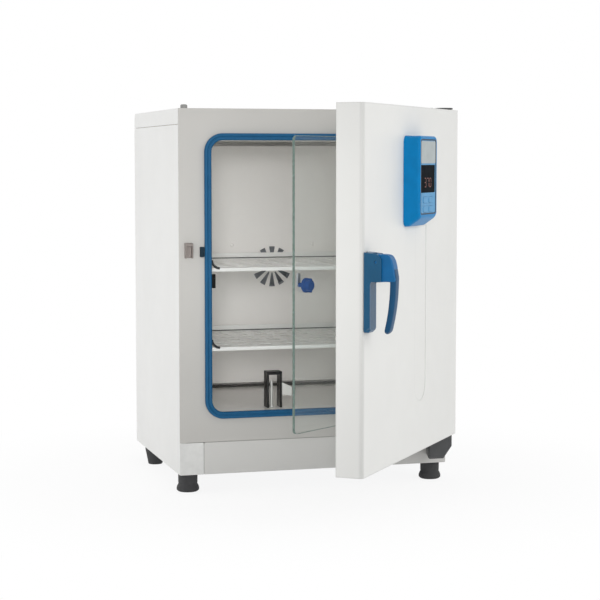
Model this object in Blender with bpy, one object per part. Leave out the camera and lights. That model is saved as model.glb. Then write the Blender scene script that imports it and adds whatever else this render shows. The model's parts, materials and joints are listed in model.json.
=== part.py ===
"""Microbiological incubator: a 75 litre bench cabinet with its outer door and glass inner door ajar.

Every piece is drawn with both doors closed, in the cabinet's own frame: X to the right across the
front, Y to the rear and Z up, in metres, with Y = 0 on the face of the front frame, X = 0 midway
between the side panels and Z = 0 on the floor. An empty on each joint's axis then turns the pieces
that it carries to where they stand at rest.
"""

import math

import bpy
import bmesh

# Cabinet
WIDTH = 0.530
DEPTH = 0.430
HEIGHT = 0.720
SHEET = 0.0012
GAP = 0.0003
CORNER_STEPS = 4
TURN_STEPS = 20
COVER_SKIRT = 0.0295
COVER_ROUNDING = 0.014
PANEL_FLANGE = 0.012
FACE_SHEET = 0.0015
FASCIA_HEIGHT = 0.0605
FASCIA_CORNER_WIDTH = 0.046
SEAM = 0.0005
SHEET_ROUNDING = 0.002
BASE_SHEET = 0.002

# Feet
FOOT_HEIGHT = 0.035
FOOT_RADIUS = 0.0185
FOOT_FLARE = 0.003
FOOT_INSET = 0.0215
FOOT_FRONT = 0.030
FOOT_BACK_INSET = 0.090
REAR_FOOT_RADIUS = 0.0205
REAR_FOOT_TIP = 0.0145
FOOT_STUD = 0.004
FOOT_STUD_LENGTH = 0.008

# Chamber
SIDE_WALL = 0.060
TOP_WALL = 0.0575
REAR_SPACE = 0.045
CHAMBER_FLOOR = 0.1515
CHAMBER_HEIGHT = HEIGHT - TOP_WALL - CHAMBER_FLOOR
CHAMBER_DEPTH = DEPTH - REAR_SPACE
CHAMBER_ROUNDING = 0.0235
LINER_FLANGE = 0.008
BAFFLE_DEPTH = 0.040
BAFFLE_Y = CHAMBER_DEPTH - BAFFLE_DEPTH
BAFFLE_MARGIN = 0.009
JACKET_MARGIN = 0.0015
JACKET_BOTTOM_MARGIN = 0.002

# Gasket between the chamber and the glass
GASKET_LIP = 0.0015
GASKET_WIDTH = 0.013
GASKET_DEPTH = 0.008
GASKET_GROOVE = 0.002
GASKET_CRESTS = (0.15, 0.35, 0.65, 0.85)

# Air circulation
FAN_X = 0.008
FAN_DROP = 0.004
FAN_Z = CHAMBER_FLOOR + CHAMBER_HEIGHT / 2 - FAN_DROP
FAN_RADIUS = 0.050
FAN_RING_WIDTH = 0.011
FAN_WIDTH = 0.022
FAN_FRONT_CLEARANCE = 0.008
FAN_BLADES = 14
FAN_SHAFT = 0.003
FAN_HUB = 0.012
FAN_DISC = 0.002
FAN_GAP_SHARE = 0.68
GRILLE_INNER = 0.013
GRILLE_OUTER = 0.042
GRILLE_SLOTS = 12
GRILLE_WIDE_SHARE = 0.28
GRILLE_NARROW_SHARE = 0.18
MOTOR_RADIUS = 0.030
MOTOR_BOSS = 0.012
HEATER_RADIUS = 0.062
HEATER_TUBE = 0.0035
HEATER_ENDS_DEG = (-80.0, 245.0)
HEATER_STEPS = 28
TUBE_SIDES = 8
AIR_SLOTS = 8
AIR_SLOT_SHARE = 0.35
AIR_SLOT = (AIR_SLOT_SHARE * BAFFLE_DEPTH, 0.030)

# Shelves and what carries them
SHELF_RISE = 0.1195
SHELF_PITCH = 0.150
SHELF_LEVELS = (("lower", CHAMBER_FLOOR + SHELF_RISE),
                ("upper", CHAMBER_FLOOR + SHELF_RISE + SHELF_PITCH))
SHELF_FRONT = 0.020
SHELF_REAR_GAP = 0.010
SHELF_DEPTH = BAFFLE_Y - SHELF_REAR_GAP - SHELF_FRONT
SHELF_UPSTAND = 0.012
SHELF_LIP = 0.008
SHELF_SIDE_GAP = 0.0045
SHELF_COLUMNS = 9
SHELF_ROWS = 6
SHELF_SLOT = (0.028, 0.022)
SUPPORT_SHEET = 0.002
SUPPORT_MARGIN = 0.028
SUPPORT_FRONT = 0.038
SUPPORT_REAR_GAP = 0.037
SUPPORT_BACK = BAFFLE_Y - SUPPORT_REAR_GAP
SUPPORT_BAR = 0.012
SUPPORT_HOLES = 10
SUPPORT_HOLE = 0.006
RUNNER_LEDGE = 0.012
RUNNER_WEB = 0.016

# Sensor post and its guard
GUARD_X = -0.076
GUARD_Y = 0.030
GUARD_WIDTH = 0.036
GUARD_HEIGHT = 0.073
GUARD_DEPTH = 0.025
GUARD_TAB = (0.018, 0.024)
PROBE_RADIUS = 0.003
PROBE_HEIGHT = 0.052
PROBE_TAIL = 0.010

# Outer door
DOOR_BOTTOM_GAP = 0.0021
DOOR_TOP_DROP = 0.0013
DOOR_GAP = 0.0035
DOOR_THICKNESS = 0.048
DOOR_SKIN = 0.002
DOOR_ROUNDING = 0.006
DOOR_OPEN_DEG = 51.8
HINGE_INSET = 0.013
HINGE_FORWARD = 0.034
HINGE_PIN = 0.004
PIN_CLEARANCE = 0.0005
HINGE_PIN_LENGTH = 0.018
RECESS_DEPTH = 0.028
RECESS_DRAFT = 0.003
RECESS_MARGIN = 0.0103
RECESS_HINGE_MARGIN = 0.026
SEAL_WIDTH = 0.0075
SEAL_SETBACK = 0.0007
GROOVE_X = 0.038
GROOVE_WIDTH = 0.062
GROOVE_BOTTOM = 0.190
GROOVE_DEPTH = 0.0008
CABLE_HOLE_RADIUS = 0.006

# Brackets that carry the outer door
BRACKET_WIDTH = 0.047
BRACKET_EDGE = 0.003
BRACKET_BOTTOM = 0.051
BRACKET_REACH = 0.052
BRACKET_CHAMFER = 0.006
BRACKET_CORNER = 0.014
TOP_BRACKET_SHEET = 0.003
TOP_BRACKET_WIDTH = 0.030
TOP_BRACKET_BACK = 0.032
CAP_RADIUS = 0.0065
CAP_HEIGHT = 0.007
CAP_INSET = 0.014
CAP_SHOULDER = 0.0049
CAP_TIP_RADIUS = 0.0039

# Latch of the outer door
HANDLE_INSET = 0.0175
HANDLE_WIDTH = 0.031
HANDLE_DROP = 0.243
HANDLE_HEIGHT = 0.141
HANDLE_BLOCK_HEIGHT = 0.052
HANDLE_TOP = HEIGHT - HANDLE_DROP
HANDLE_BOTTOM = HANDLE_TOP - HANDLE_HEIGHT
HANDLE_BLOCK_BOTTOM = HANDLE_TOP - HANDLE_BLOCK_HEIGHT
HANDLE_BASE = 0.011
HANDLE_CHEEK = 0.004
HANDLE_CHEEK_REACH = 0.030
HANDLE_REACH = 0.0528
GRIP_THICKNESS = 0.0105
GRIP_TIP_THICKNESS = 0.0076
GRIP_WIDTH = 0.0208
GRIP_TAPER = 0.002
GRIP_LEAN = 0.0112
GRIP_TIP_RISE = 0.002
GRIP_STEPS = 8
LEVER_PIVOT = 0.0205
LEVER_PIVOT_DROP = 0.0195
LEVER_PIVOT_Z = HANDLE_TOP - LEVER_PIVOT_DROP
LEVER_CLEARANCE = 0.0012
LEVER_PIN = 0.0025
STRIKER_WIDTH = 0.014
STRIKER_HEIGHT = 0.028
STRIKER_DROP = 0.0145
STRIKER_BOTTOM = LEVER_PIVOT_Z - STRIKER_DROP
STRIKER_SHEET = 0.0015
STRIKER_REACH = 0.013
STRIKER_BAR = 0.004
HOOK_WIDTH = 0.006
HOOK_HEIGHT = 0.006
HOOK_LIFT_DEG = 4.0
HOOK_TIP_GAP = 0.0008
HOOK_TOOTH = 0.004
POCKET_CLEARANCE = 0.002
POCKET_DEPTH = 0.0145
POCKET_RISE = 0.0165
SLOT_WIDTH = 0.011
CONTACT_WIDTH = 0.008
CONTACT_HEIGHT = 0.019
CONTACT_DEPTH = 0.006
CONTACT_DROP = 0.0035
CONTACT_Z = LEVER_PIVOT_Z - CONTACT_DROP

# Control housing
HOUSING_X = -0.012
HOUSING_WIDTH = 0.100
HOUSING_DROP = 0.053
HOUSING_HEIGHT = 0.159
HOUSING_BOTTOM = HEIGHT - HOUSING_DROP - HOUSING_HEIGHT
HOUSING_DEPTH = 0.030
HOUSING_ROUNDING = 0.012
HOUSING_WALL = 0.004
HOUSING_TAPER = 0.0025
HOUSING_SLOPE = (0.020, 0.015)
FACE_RECESS = 0.0008
FACE_THICKNESS = 0.0025
BOARD_SETBACK = 0.009
BOARD_THICKNESS = 0.0016
KEY_SETBACK = 0.0024
WINDOW_SIZE = (0.078, 0.048)
WINDOW_RISE = 0.0835
WINDOW_Z = HOUSING_BOTTOM + WINDOW_RISE
WINDOW_THICKNESS = 0.002
KEY_NAMES = ("key_menu", "key_up", "key_down", "key_set")
KEY_SIZE = (0.024, 0.011)
KEY_PITCH = (0.032, 0.016)
KEYS_RISE = 0.0385
KEYS_Z = HOUSING_BOTTOM + KEYS_RISE
KEY_ROUNDING = 0.003
KEY_PROUD = 0.0010
KEY_TRAVEL = 0.0008

# Glass inner door
GLASS_OPEN_DEG = 37.35
GLASS = 0.005
GLASS_OVERLAP = 0.0075
GLASS_ROUNDING = 0.008
GLASS_HINGE_OUT = 0.003
GLASS_HINGE_FORWARD = 0.0035
BARREL_RADIUS = 0.004
BARREL_PIN = 0.002
BARREL_HEIGHT = 0.012
GLASS_HINGE_RISE = 0.0495
GLASS_HINGE_DROP = 0.0625
GLASS_HINGE_LEVELS = (("lower", CHAMBER_FLOOR + GLASS_HINGE_RISE),
                      ("upper", CHAMBER_FLOOR + CHAMBER_HEIGHT - GLASS_HINGE_DROP))
CLAMP_SHEET = 0.003
CLAMP_LENGTH = 0.036
CLAMP_HEIGHT = 0.036
CLAMP_STUD = 0.003
CLAMP_WASHER = 0.006
KNOB_INSET = 0.0305
KNOB_Z = CHAMBER_FLOOR + CHAMBER_HEIGHT / 2
KNOB_RADIUS = 0.013
KNOB_HEIGHT = 0.014
KNOB_SPINDLE = 0.004
KNOB_STEPS = ((0.3, 1.0), (0.45, 0.8), (0.9, 0.75), (1.0, 0.6))
TONGUE_LENGTH = 0.0205
TONGUE_WIDTH = 0.008
TONGUE_SHEET = 0.003
KEEPER_HEIGHT = 0.026
KEEPER_RISE = 0.0052
KEEPER_REACH = 0.0085
KEEPER_LIP = 0.0072
KEEPER_FACE = 0.0012

# Supply
SUPPLY_SIZE = (0.180, 0.120, 0.040)
SUPPLY_PLACE = (-0.060, 0.230)
INLET_X = -0.180
INLET_Z = 0.066
INLET_SIZE = (0.028, 0.020)
INLET_DEPTH = 0.024
INLET_FLANGE = (0.050, 0.026)
INLET_BLADE = (0.0015, 0.004)
INLET_FACE = 0.002
INLET_BLADE_SETBACK = 0.006
VENT_COUNT = 12
VENT_SIZE = (0.004, 0.034)
VENT_PITCH = 0.012
VENT_X = 0.060

# What the sizes above lead to
LEFT = -WIDTH / 2
RIGHT = WIDTH / 2
SKIN_Y = FACE_SHEET + GAP
REAR_Y = DEPTH - SHEET - GAP
FASCIA_TOP = FOOT_HEIGHT + FASCIA_HEIGHT
COVER_BOTTOM = HEIGHT - COVER_SKIRT
CHAMBER_LEFT = LEFT + SIDE_WALL
CHAMBER_RIGHT = RIGHT - SIDE_WALL
CHAMBER_TOP = CHAMBER_FLOOR + CHAMBER_HEIGHT
CHAMBER = (CHAMBER_LEFT, CHAMBER_RIGHT, CHAMBER_FLOOR, CHAMBER_TOP, CHAMBER_ROUNDING)
GASKET_OUT = GASKET_WIDTH - GASKET_LIP
GASKET_FACE = -GAP - GASKET_DEPTH
DOOR_BACK = -DOOR_GAP
DOOR_FRONT = -DOOR_GAP - DOOR_THICKNESS
DOOR_BOTTOM = FASCIA_TOP + DOOR_BOTTOM_GAP
DOOR_TOP = HEIGHT - DOOR_TOP_DROP
DOOR_AXIS = (RIGHT - HINGE_INSET, -HINGE_FORWARD)
HANDLE_X = LEFT + HANDLE_INSET
LEVER_PIVOT_Y = DOOR_FRONT - LEVER_PIVOT
HOUSING_FRONT = DOOR_FRONT - HOUSING_DEPTH
GLASS_BACK = GASKET_FACE - GAP
GLASS_FRONT = GLASS_BACK - GLASS
GLASS_LEFT = CHAMBER_LEFT - GASKET_OUT + GLASS_OVERLAP
GLASS_AXIS = (CHAMBER_RIGHT + GASKET_OUT + GLASS_HINGE_OUT, GASKET_FACE - GLASS_HINGE_FORWARD)
KNOB_X = GLASS_LEFT + KNOB_INSET
FAN_FRONT = BAFFLE_Y + SHEET + FAN_FRONT_CLEARANCE
LINER_BACK = CHAMBER_DEPTH + SHEET

PAINTS = {
    "cabinet_white": ((0.90, 0.90, 0.89), 0.42, 0.0),
    "door_white": ((0.88, 0.88, 0.87), 0.40, 0.0),
    "frame_grey": ((0.72, 0.72, 0.71), 0.45, 0.0),
    "corner_grey": ((0.80, 0.80, 0.80), 0.45, 0.0),
    "polished_steel": ((0.76, 0.76, 0.75), 0.25, 1.0),
    "zinc_steel": ((0.55, 0.56, 0.58), 0.40, 1.0),
    "gasket_blue": ((0.15, 0.36, 0.48), 0.60, 0.0),
    "seal_grey": ((0.30, 0.31, 0.32), 0.70, 0.0),
    "control_blue": ((0.02, 0.45, 0.68), 0.35, 0.0),
    "handle_blue": ((0.11, 0.40, 0.58), 0.40, 0.0),
    "keypad_blue": ((0.39, 0.62, 0.77), 0.40, 0.0),
    "display_black": ((0.06, 0.09, 0.11), 0.12, 0.0),
    "bracket_grey": ((0.30, 0.31, 0.32), 0.50, 0.0),
    "rubber_black": ((0.22, 0.22, 0.23), 0.75, 0.0),
    "glass_clear": ((0.80, 0.90, 0.87), 0.05, 0.0),
    "jacket_wool": ((0.75, 0.68, 0.45), 0.90, 0.0),
    "foam_cream": ((0.85, 0.80, 0.65), 0.85, 0.0),
    "board_green": ((0.10, 0.32, 0.20), 0.55, 0.0),
    "motor_dark": ((0.18, 0.19, 0.20), 0.45, 0.4),
}

HOMES = {}


# Shapes

def clear_scene():
    """Removes whatever the file opened with."""
    for item in list(bpy.data.objects):
        bpy.data.objects.remove(item, do_unlink=True)


def rectangle(area):
    """Outline of a rounded rectangle, from its lower right corner, anticlockwise."""
    x0, x1, z0, z1, radius = area
    centres = ((x1 - radius, z0 + radius, -90), (x1 - radius, z1 - radius, 0),
               (x0 + radius, z1 - radius, 90), (x0 + radius, z0 + radius, 180))
    points = []
    for x, z, start in centres:
        points += arc(x, z, radius, start, start + 90, CORNER_STEPS)
    return points


def arc(x, z, radius, start_deg, end_deg, steps):
    """Points on an arc, both ends included."""
    points = []
    for step in range(steps + 1):
        angle = math.radians(start_deg + (end_deg - start_deg) * step / steps)
        points.append((x + radius * math.cos(angle), z + radius * math.sin(angle)))
    return points


def circle(x, z, radius, steps=TURN_STEPS):
    """Outline of a full circle."""
    return arc(x, z, radius, 0, 360, steps)[:-1]


def box_outline(x0, x1, z0, z1):
    """Outline of a plain rectangle."""
    return [(x1, z0), (x1, z1), (x0, z1), (x0, z0)]


def inset(area, amount):
    """A rounded rectangle drawn in by an amount on every side, or out by a negative one."""
    x0, x1, z0, z1, radius = area
    corner = max(radius - amount, SHEET_ROUNDING / 2)
    return (x0 + amount, x1 - amount, z0 + amount, z1 - amount, corner)


def at_x(points, x):
    """Stands an outline given as Y and Z on a plane of constant X."""
    return [(x, y, z) for y, z in points]


def at_y(points, y):
    """Stands an outline given as X and Z on a plane of constant Y."""
    return [(x, y, z) for x, z in points]


def at_z(points, z):
    """Lays an outline given as X and Y at a height."""
    return [(x, y, z) for x, y in points]


def along_x(points, x0, x1):
    """Two ends of a prism that runs along X."""
    return [at_x(points, x0), at_x(points, x1)]


def along_y(points, y0, y1):
    """Two ends of a prism that runs along Y."""
    return [at_y(points, y0), at_y(points, y1)]


def along_z(points, z0, z1):
    """Two ends of a prism that runs along Z."""
    return [at_z(points, z0), at_z(points, z1)]


def turned_y(x, z, profile, steps=TURN_STEPS):
    """Circles about an axis along Y, one for each Y and radius of the profile."""
    return [at_y(circle(x, z, radius, steps), y) for y, radius in profile]


def turned_z(x, y, profile, steps=TURN_STEPS):
    """Circles about an upright axis, one for each height and radius of the profile."""
    return [at_z(circle(x, y, radius, steps), z) for z, radius in profile]


# Objects

def add_paint(name):
    """The material of that name, made once."""
    paint = bpy.data.materials.get(name)
    if paint:
        return paint
    colour, roughness, metallic = PAINTS[name]
    paint = bpy.data.materials.new(name)
    paint.use_nodes = True
    shader = paint.node_tree.nodes["Principled BSDF"]
    linear = [channel ** 2.2 for channel in colour]
    shader.inputs["Base Color"].default_value = (*linear, 1.0)
    shader.inputs["Roughness"].default_value = roughness
    shader.inputs["Metallic"].default_value = metallic
    paint.diffuse_color = (*linear, 1.0)
    return paint


def add_frame(name, home, carrier=None, turn_deg=0.0):
    """An empty at a point of the closed cabinet, turned about the upright axis."""
    frame = bpy.data.objects.new(name, None)
    frame.empty_display_size = 0.05
    bpy.context.collection.objects.link(frame)
    origin = HOMES[carrier.name] if carrier else (0.0, 0.0, 0.0)
    frame.parent = carrier
    frame.location = [value - start for value, start in zip(home, origin)]
    frame.rotation_euler[2] = math.radians(turn_deg)
    HOMES[name] = home
    return frame


def skin(mesh_data, loops, ring=False):
    """Joins matching loops by a skin; a ring joins the last to the first, and a run is capped."""
    rows = [[mesh_data.verts.new(point) for point in loop] for loop in loops]
    following = rows[1:] + rows[:1] if ring else rows[1:]
    for low, high in zip(rows, following):
        for index in range(len(low)):
            mesh_data.faces.new((low[index - 1], low[index], high[index], high[index - 1]))
    if not ring:
        mesh_data.faces.new(rows[0])
        mesh_data.faces.new(rows[-1])


def add_solid(name, shapes, frame, ring=False):
    """An object of one or more closed skins, drawn in the closed cabinet's frame."""
    mesh_data = bmesh.new()
    for loops in shapes:
        skin(mesh_data, loops, ring)
    bmesh.ops.recalc_face_normals(mesh_data, faces=mesh_data.faces)
    mesh = bpy.data.meshes.new(name)
    mesh_data.to_mesh(mesh)
    mesh_data.free()
    solid = bpy.data.objects.new(name, mesh)
    bpy.context.collection.objects.link(solid)
    solid.parent = frame
    solid.location = [-value for value in HOMES[frame.name]]
    return solid


def add_piece(name, loops, frame, paint, ring=False):
    """A sub-part with its finish."""
    piece = add_solid(name, [loops], frame, ring)
    piece.data.materials.append(add_paint(paint))
    piece.data.shade_smooth()
    piece.data.set_sharp_from_angle(angle=math.radians(32))
    return piece


def combine(piece, shapes, operation, ring=False):
    """Cuts shapes from a piece, or joins them to it."""
    tool = add_solid(piece.name + "_" + operation.lower(), shapes, piece.parent, ring)
    tool.hide_render = True
    tool.display_type = "WIRE"
    change = piece.modifiers.new(operation.title(), "BOOLEAN")
    change.operation = operation
    change.solver = "EXACT"
    change.object = tool
    return piece


def cut(piece, *shapes):
    """Takes closed shapes out of a piece."""
    return combine(piece, shapes, "DIFFERENCE")


def join(piece, *shapes):
    """Makes closed shapes part of a piece."""
    return combine(piece, shapes, "UNION")


# Cabinet

def build_top_cover(cabinet):
    """Lid whose sheet turns down over the sides and rolls over into the rear."""
    outer = cover_profile(0.0)
    inner = cover_profile(SHEET)
    cover = add_piece("top_cover", along_x(outer, LEFT, RIGHT), cabinet, "cabinet_white")
    cut(cover, along_x(inner, LEFT + SHEET, RIGHT - SHEET))


def cover_profile(wall):
    """Side view of the lid, drawn in by a wall; the inner one runs out below and in front."""
    below = COVER_BOTTOM - (SHEET if wall else 0.0)
    front = SKIN_Y - (SHEET if wall else 0.0)
    rear = DEPTH - wall
    top = HEIGHT - wall
    radius = COVER_ROUNDING - wall
    roll = arc(rear - radius, top - radius, radius, 0, 90, CORNER_STEPS)
    return [(rear, below)] + roll + [(front, top), (front, below)]


def build_side_panels(cabinet):
    """Side sheets with a flange turned in at the front and at the rear."""
    for name, side in (("side_panel_left", -1), ("side_panel_right", 1)):
        outer = side * WIDTH / 2
        wall = outer - side * SHEET
        edge = outer - side * PANEL_FLANGE
        plan = [(outer, SKIN_Y), (edge, SKIN_Y), (edge, SKIN_Y + SHEET), (wall, SKIN_Y + SHEET),
                (wall, REAR_Y - SHEET), (edge, REAR_Y - SHEET), (edge, REAR_Y), (outer, REAR_Y)]
        loops = along_z(plan, FOOT_HEIGHT, COVER_BOTTOM - SEAM)
        add_piece(name, loops, cabinet, "cabinet_white")


def build_rear_panel(cabinet):
    """Rear sheet with the vent slots and the hole for the mains inlet."""
    area = (LEFT, RIGHT, FOOT_HEIGHT, COVER_BOTTOM - SEAM, SHEET_ROUNDING)
    panel = add_piece("rear_panel", along_y(rectangle(area), DEPTH - SHEET, DEPTH), cabinet,
                      "cabinet_white")
    through = (DEPTH - SHEET - GAP, DEPTH + GAP)
    holes = []
    for index in range(VENT_COUNT):
        x = VENT_X + (index - VENT_COUNT / 2) * VENT_PITCH
        slot = box_outline(x, x + VENT_SIZE[0], INLET_Z - VENT_SIZE[1] / 2, INLET_Z + VENT_SIZE[1] / 2)
        holes.append(along_y(slot, *through))
    opening = inlet_area(INLET_SIZE, GAP)
    cut(panel, *holes, along_y(rectangle(opening), *through))


def inlet_area(size, margin):
    """Outline of the mains inlet or its flange, with a margin round it."""
    return (INLET_X - size[0] / 2 - margin, INLET_X + size[0] / 2 + margin,
            INLET_Z - size[1] / 2 - margin, INLET_Z + size[1] / 2 + margin, SHEET_ROUNDING)


def foot_places():
    """Name, centre, and whether it is a front foot, for each foot."""
    rear = DEPTH - FOOT_BACK_INSET
    places = []
    for end, y in (("front", FOOT_FRONT), ("rear", rear)):
        for side, x in (("left", LEFT + FOOT_INSET), ("right", RIGHT - FOOT_INSET)):
            places.append((f"foot_{end}_{side}", x, y, end == "front"))
    return places


def build_base_plate(cabinet):
    """Floor sheet between the side panels, with a hole for each foot's stud."""
    side = SHEET + GAP
    area = (LEFT + side, RIGHT - side, SKIN_Y + SHEET + GAP, REAR_Y - SHEET - GAP, SHEET_ROUNDING)
    plate = add_piece("base_plate", along_z(rectangle(area), FOOT_HEIGHT, FOOT_HEIGHT + BASE_SHEET),
                      cabinet, "zinc_steel")
    holes = []
    for _, x, y, _ in foot_places():
        hole = circle(x, y, FOOT_STUD + GAP)
        holes.append(along_z(hole, FOOT_HEIGHT - GAP, FOOT_HEIGHT + BASE_SHEET + GAP))
    cut(plate, *holes)


def build_feet(cabinet):
    """Rubber feet: flared ones in front, tapered ones at the rear."""
    top = FOOT_HEIGHT - GAP
    stud_top = FOOT_HEIGHT + FOOT_STUD_LENGTH
    for name, x, y, is_front in foot_places():
        if is_front:
            flare = FOOT_RADIUS + FOOT_FLARE
            profile = [(0.0, flare - FOOT_FLARE), (FOOT_FLARE, flare), (2.5 * FOOT_FLARE, flare),
                       (5 * FOOT_FLARE, FOOT_RADIUS), (top, FOOT_RADIUS)]
        else:
            profile = [(0.0, REAR_FOOT_TIP), (top - FOOT_FLARE, REAR_FOOT_RADIUS), (top, REAR_FOOT_RADIUS)]
        profile += [(top, FOOT_STUD), (stud_top, FOOT_STUD)]
        add_piece(name, turned_z(x, y, profile), cabinet, "rubber_black")


def build_front_frame(cabinet):
    """Front sheet round the chamber's mouth."""
    outer = (LEFT, RIGHT, FASCIA_TOP + SEAM, HEIGHT, SHEET_ROUNDING)
    loops = [at_y(rectangle(outer), 0.0), at_y(rectangle(outer), FACE_SHEET),
             at_y(rectangle(CHAMBER), FACE_SHEET), at_y(rectangle(CHAMBER), 0.0)]
    add_piece("front_frame", loops, cabinet, "frame_grey", ring=True)


def build_fascia(cabinet):
    """Lower front cover, in a wide part and a lighter corner part."""
    split = LEFT + FASCIA_CORNER_WIDTH
    corner = (LEFT, split, FOOT_HEIGHT, FASCIA_TOP, SHEET_ROUNDING)
    wide = (split + SEAM, RIGHT, FOOT_HEIGHT, FASCIA_TOP, SHEET_ROUNDING)
    add_piece("fascia_corner", along_y(rectangle(corner), 0.0, FACE_SHEET), cabinet, "corner_grey")
    add_piece("fascia_panel", along_y(rectangle(wide), 0.0, FACE_SHEET), cabinet, "frame_grey")


def build_gasket(cabinet):
    """Blue silicone gasket with two lips round the chamber's mouth."""
    outer = inset(CHAMBER, -GASKET_OUT)
    back = -GAP
    lip = GASKET_FACE + GASKET_GROOVE
    crests = [(share, GASKET_FACE) for share in GASKET_CRESTS]
    section = [(0.0, back), (0.0, lip), *crests[:2], (0.5, lip), *crests[2:], (1.0, lip), (1.0, back)]
    loops = [at_y(rectangle(inset(outer, share * GASKET_WIDTH)), y) for share, y in section]
    add_piece("chamber_gasket", loops, cabinet, "gasket_blue", ring=True)


# Chamber

def build_liner(cabinet):
    """Stainless chamber: a rounded box, open in front, with a flange behind the front frame."""
    outer = inset(CHAMBER, -SHEET)
    flange = inset(CHAMBER, -LINER_FLANGE)
    front = SKIN_Y
    loops = [at_y(rectangle(CHAMBER), CHAMBER_DEPTH), at_y(rectangle(CHAMBER), front),
             at_y(rectangle(flange), front), at_y(rectangle(flange), front + SHEET),
             at_y(rectangle(outer), front + SHEET), at_y(rectangle(outer), LINER_BACK)]
    liner = add_piece("chamber_liner", loops, cabinet, "polished_steel")
    cut(liner, *rear_bores(GAP), probe_bore(GAP))


def rear_bores(margin):
    """Bores for the fan's shaft and the heater's two legs."""
    ends = (CHAMBER_DEPTH - margin, LINER_BACK + margin)
    bores = [along_y(circle(FAN_X, FAN_Z, FAN_SHAFT + 2 * GAP), *ends)]
    for angle in HEATER_ENDS_DEG:
        x, z = heater_point(angle)
        bores.append(along_y(circle(x, z, HEATER_TUBE + 2 * GAP), *ends))
    return bores


def probe_bore(margin):
    """Bore for the sensor post through the chamber's floor."""
    x, y = probe_place()
    return along_z(circle(x, y, PROBE_RADIUS + GAP), CHAMBER_FLOOR - SHEET - margin, CHAMBER_FLOOR + margin)


def build_baffle(cabinet):
    """Rear cover of the fan, a tray with the fan's grille and air slots in its flanges."""
    front = inset(CHAMBER, BAFFLE_MARGIN)
    back = inset(CHAMBER, BAFFLE_MARGIN + SHEET)
    rear = CHAMBER_DEPTH - GAP
    loops = [at_y(rectangle(front), BAFFLE_Y), at_y(rectangle(front), rear),
             at_y(rectangle(back), rear), at_y(rectangle(back), BAFFLE_Y + SHEET)]
    baffle = add_piece("rear_baffle", loops, cabinet, "polished_steel")
    cut(baffle, *grille_slots(), *air_slots(front))


def grille_slots():
    """Petal shaped slots in a ring in front of the fan."""
    slots = []
    pitch = 360 / GRILLE_SLOTS
    for index in range(GRILLE_SLOTS):
        middle = index * pitch
        far = GRILLE_WIDE_SHARE * pitch
        near = GRILLE_NARROW_SHARE * pitch
        wide = arc(FAN_X, FAN_Z, GRILLE_OUTER, middle - far, middle + far, 2)
        narrow = arc(FAN_X, FAN_Z, GRILLE_INNER, middle + near, middle - near, 1)
        slots.append(along_y(wide + narrow, BAFFLE_Y - GAP, BAFFLE_Y + SHEET + GAP))
    return slots


def air_slots(area):
    """Slots through both side flanges of the rear cover."""
    x0, x1, z0, z1, corner = area
    middle = (BAFFLE_Y + CHAMBER_DEPTH) / 2
    pitch = (z1 - z0 - 2 * corner) / AIR_SLOTS
    slots = []
    for index in range(AIR_SLOTS):
        z = z0 + corner + (index + 0.5) * pitch
        outline = box_outline(middle - AIR_SLOT[0] / 2, middle + AIR_SLOT[0] / 2,
                              z - AIR_SLOT[1] / 2, z + AIR_SLOT[1] / 2)
        slots.append(along_x(outline, x0 - GAP, x0 + SHEET + GAP))
        slots.append(along_x(outline, x1 - SHEET - GAP, x1 + GAP))
    return slots


def build_fan(cabinet):
    """Motor behind the chamber and the wheel on its shaft."""
    boss_front = LINER_BACK + GAP
    body_front = boss_front + 2 * SHEET
    back = DEPTH - SHEET - GAP
    bore = FAN_SHAFT + 2 * GAP
    shaft_end = body_front + MOTOR_BOSS
    profile = [(shaft_end + GAP, bore), (boss_front, bore), (boss_front, MOTOR_BOSS),
               (body_front, MOTOR_BOSS), (body_front, MOTOR_RADIUS - SHEET),
               (body_front + SHEET, MOTOR_RADIUS), (back, MOTOR_RADIUS)]
    add_piece("fan_motor", turned_y(FAN_X, FAN_Z, profile), cabinet, "motor_dark")
    axis = add_frame("fan_axis", (FAN_X, FAN_FRONT, FAN_Z), cabinet)
    build_fan_wheel(axis, shaft_end)


def build_fan_wheel(axis, shaft_end):
    """Wheel with a back disc, blades, a front ring and its shaft."""
    disc_back = FAN_FRONT + FAN_WIDTH
    disc_front = disc_back - FAN_DISC
    inner = FAN_RADIUS - FAN_RING_WIDTH
    profile = [(shaft_end, FAN_SHAFT), (disc_back, FAN_SHAFT), (disc_back, FAN_RADIUS),
               (FAN_FRONT, FAN_RADIUS), (FAN_FRONT, inner), (disc_front, inner),
               (disc_front, FAN_HUB), (FAN_FRONT + FAN_HUB / 2, FAN_HUB)]
    wheel = add_piece("fan_wheel", turned_y(FAN_X, FAN_Z, profile, 2 * FAN_BLADES), axis, "zinc_steel")
    slots = []
    for index in range(FAN_BLADES):
        slots.append(along_y(blade_gap(index * 360 / FAN_BLADES), FAN_FRONT + FAN_DISC, disc_front))
    cut(wheel, *slots)


def blade_gap(turn):
    """Slanted gap between two blades of the wheel."""
    half = FAN_GAP_SHARE * 180 / FAN_BLADES
    outer = FAN_RADIUS + FAN_DISC
    inner = FAN_RADIUS - FAN_RING_WIDTH - FAN_DISC
    return (arc(FAN_X, FAN_Z, outer, turn, turn + 2 * half, 1)
            + arc(FAN_X, FAN_Z, inner, turn + half, turn - half, 1))


def heater_point(angle_deg):
    """Point of the heater's ring in X and Z."""
    angle = math.radians(angle_deg)
    return FAN_X + HEATER_RADIUS * math.cos(angle), FAN_Z + HEATER_RADIUS * math.sin(angle)


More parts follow.
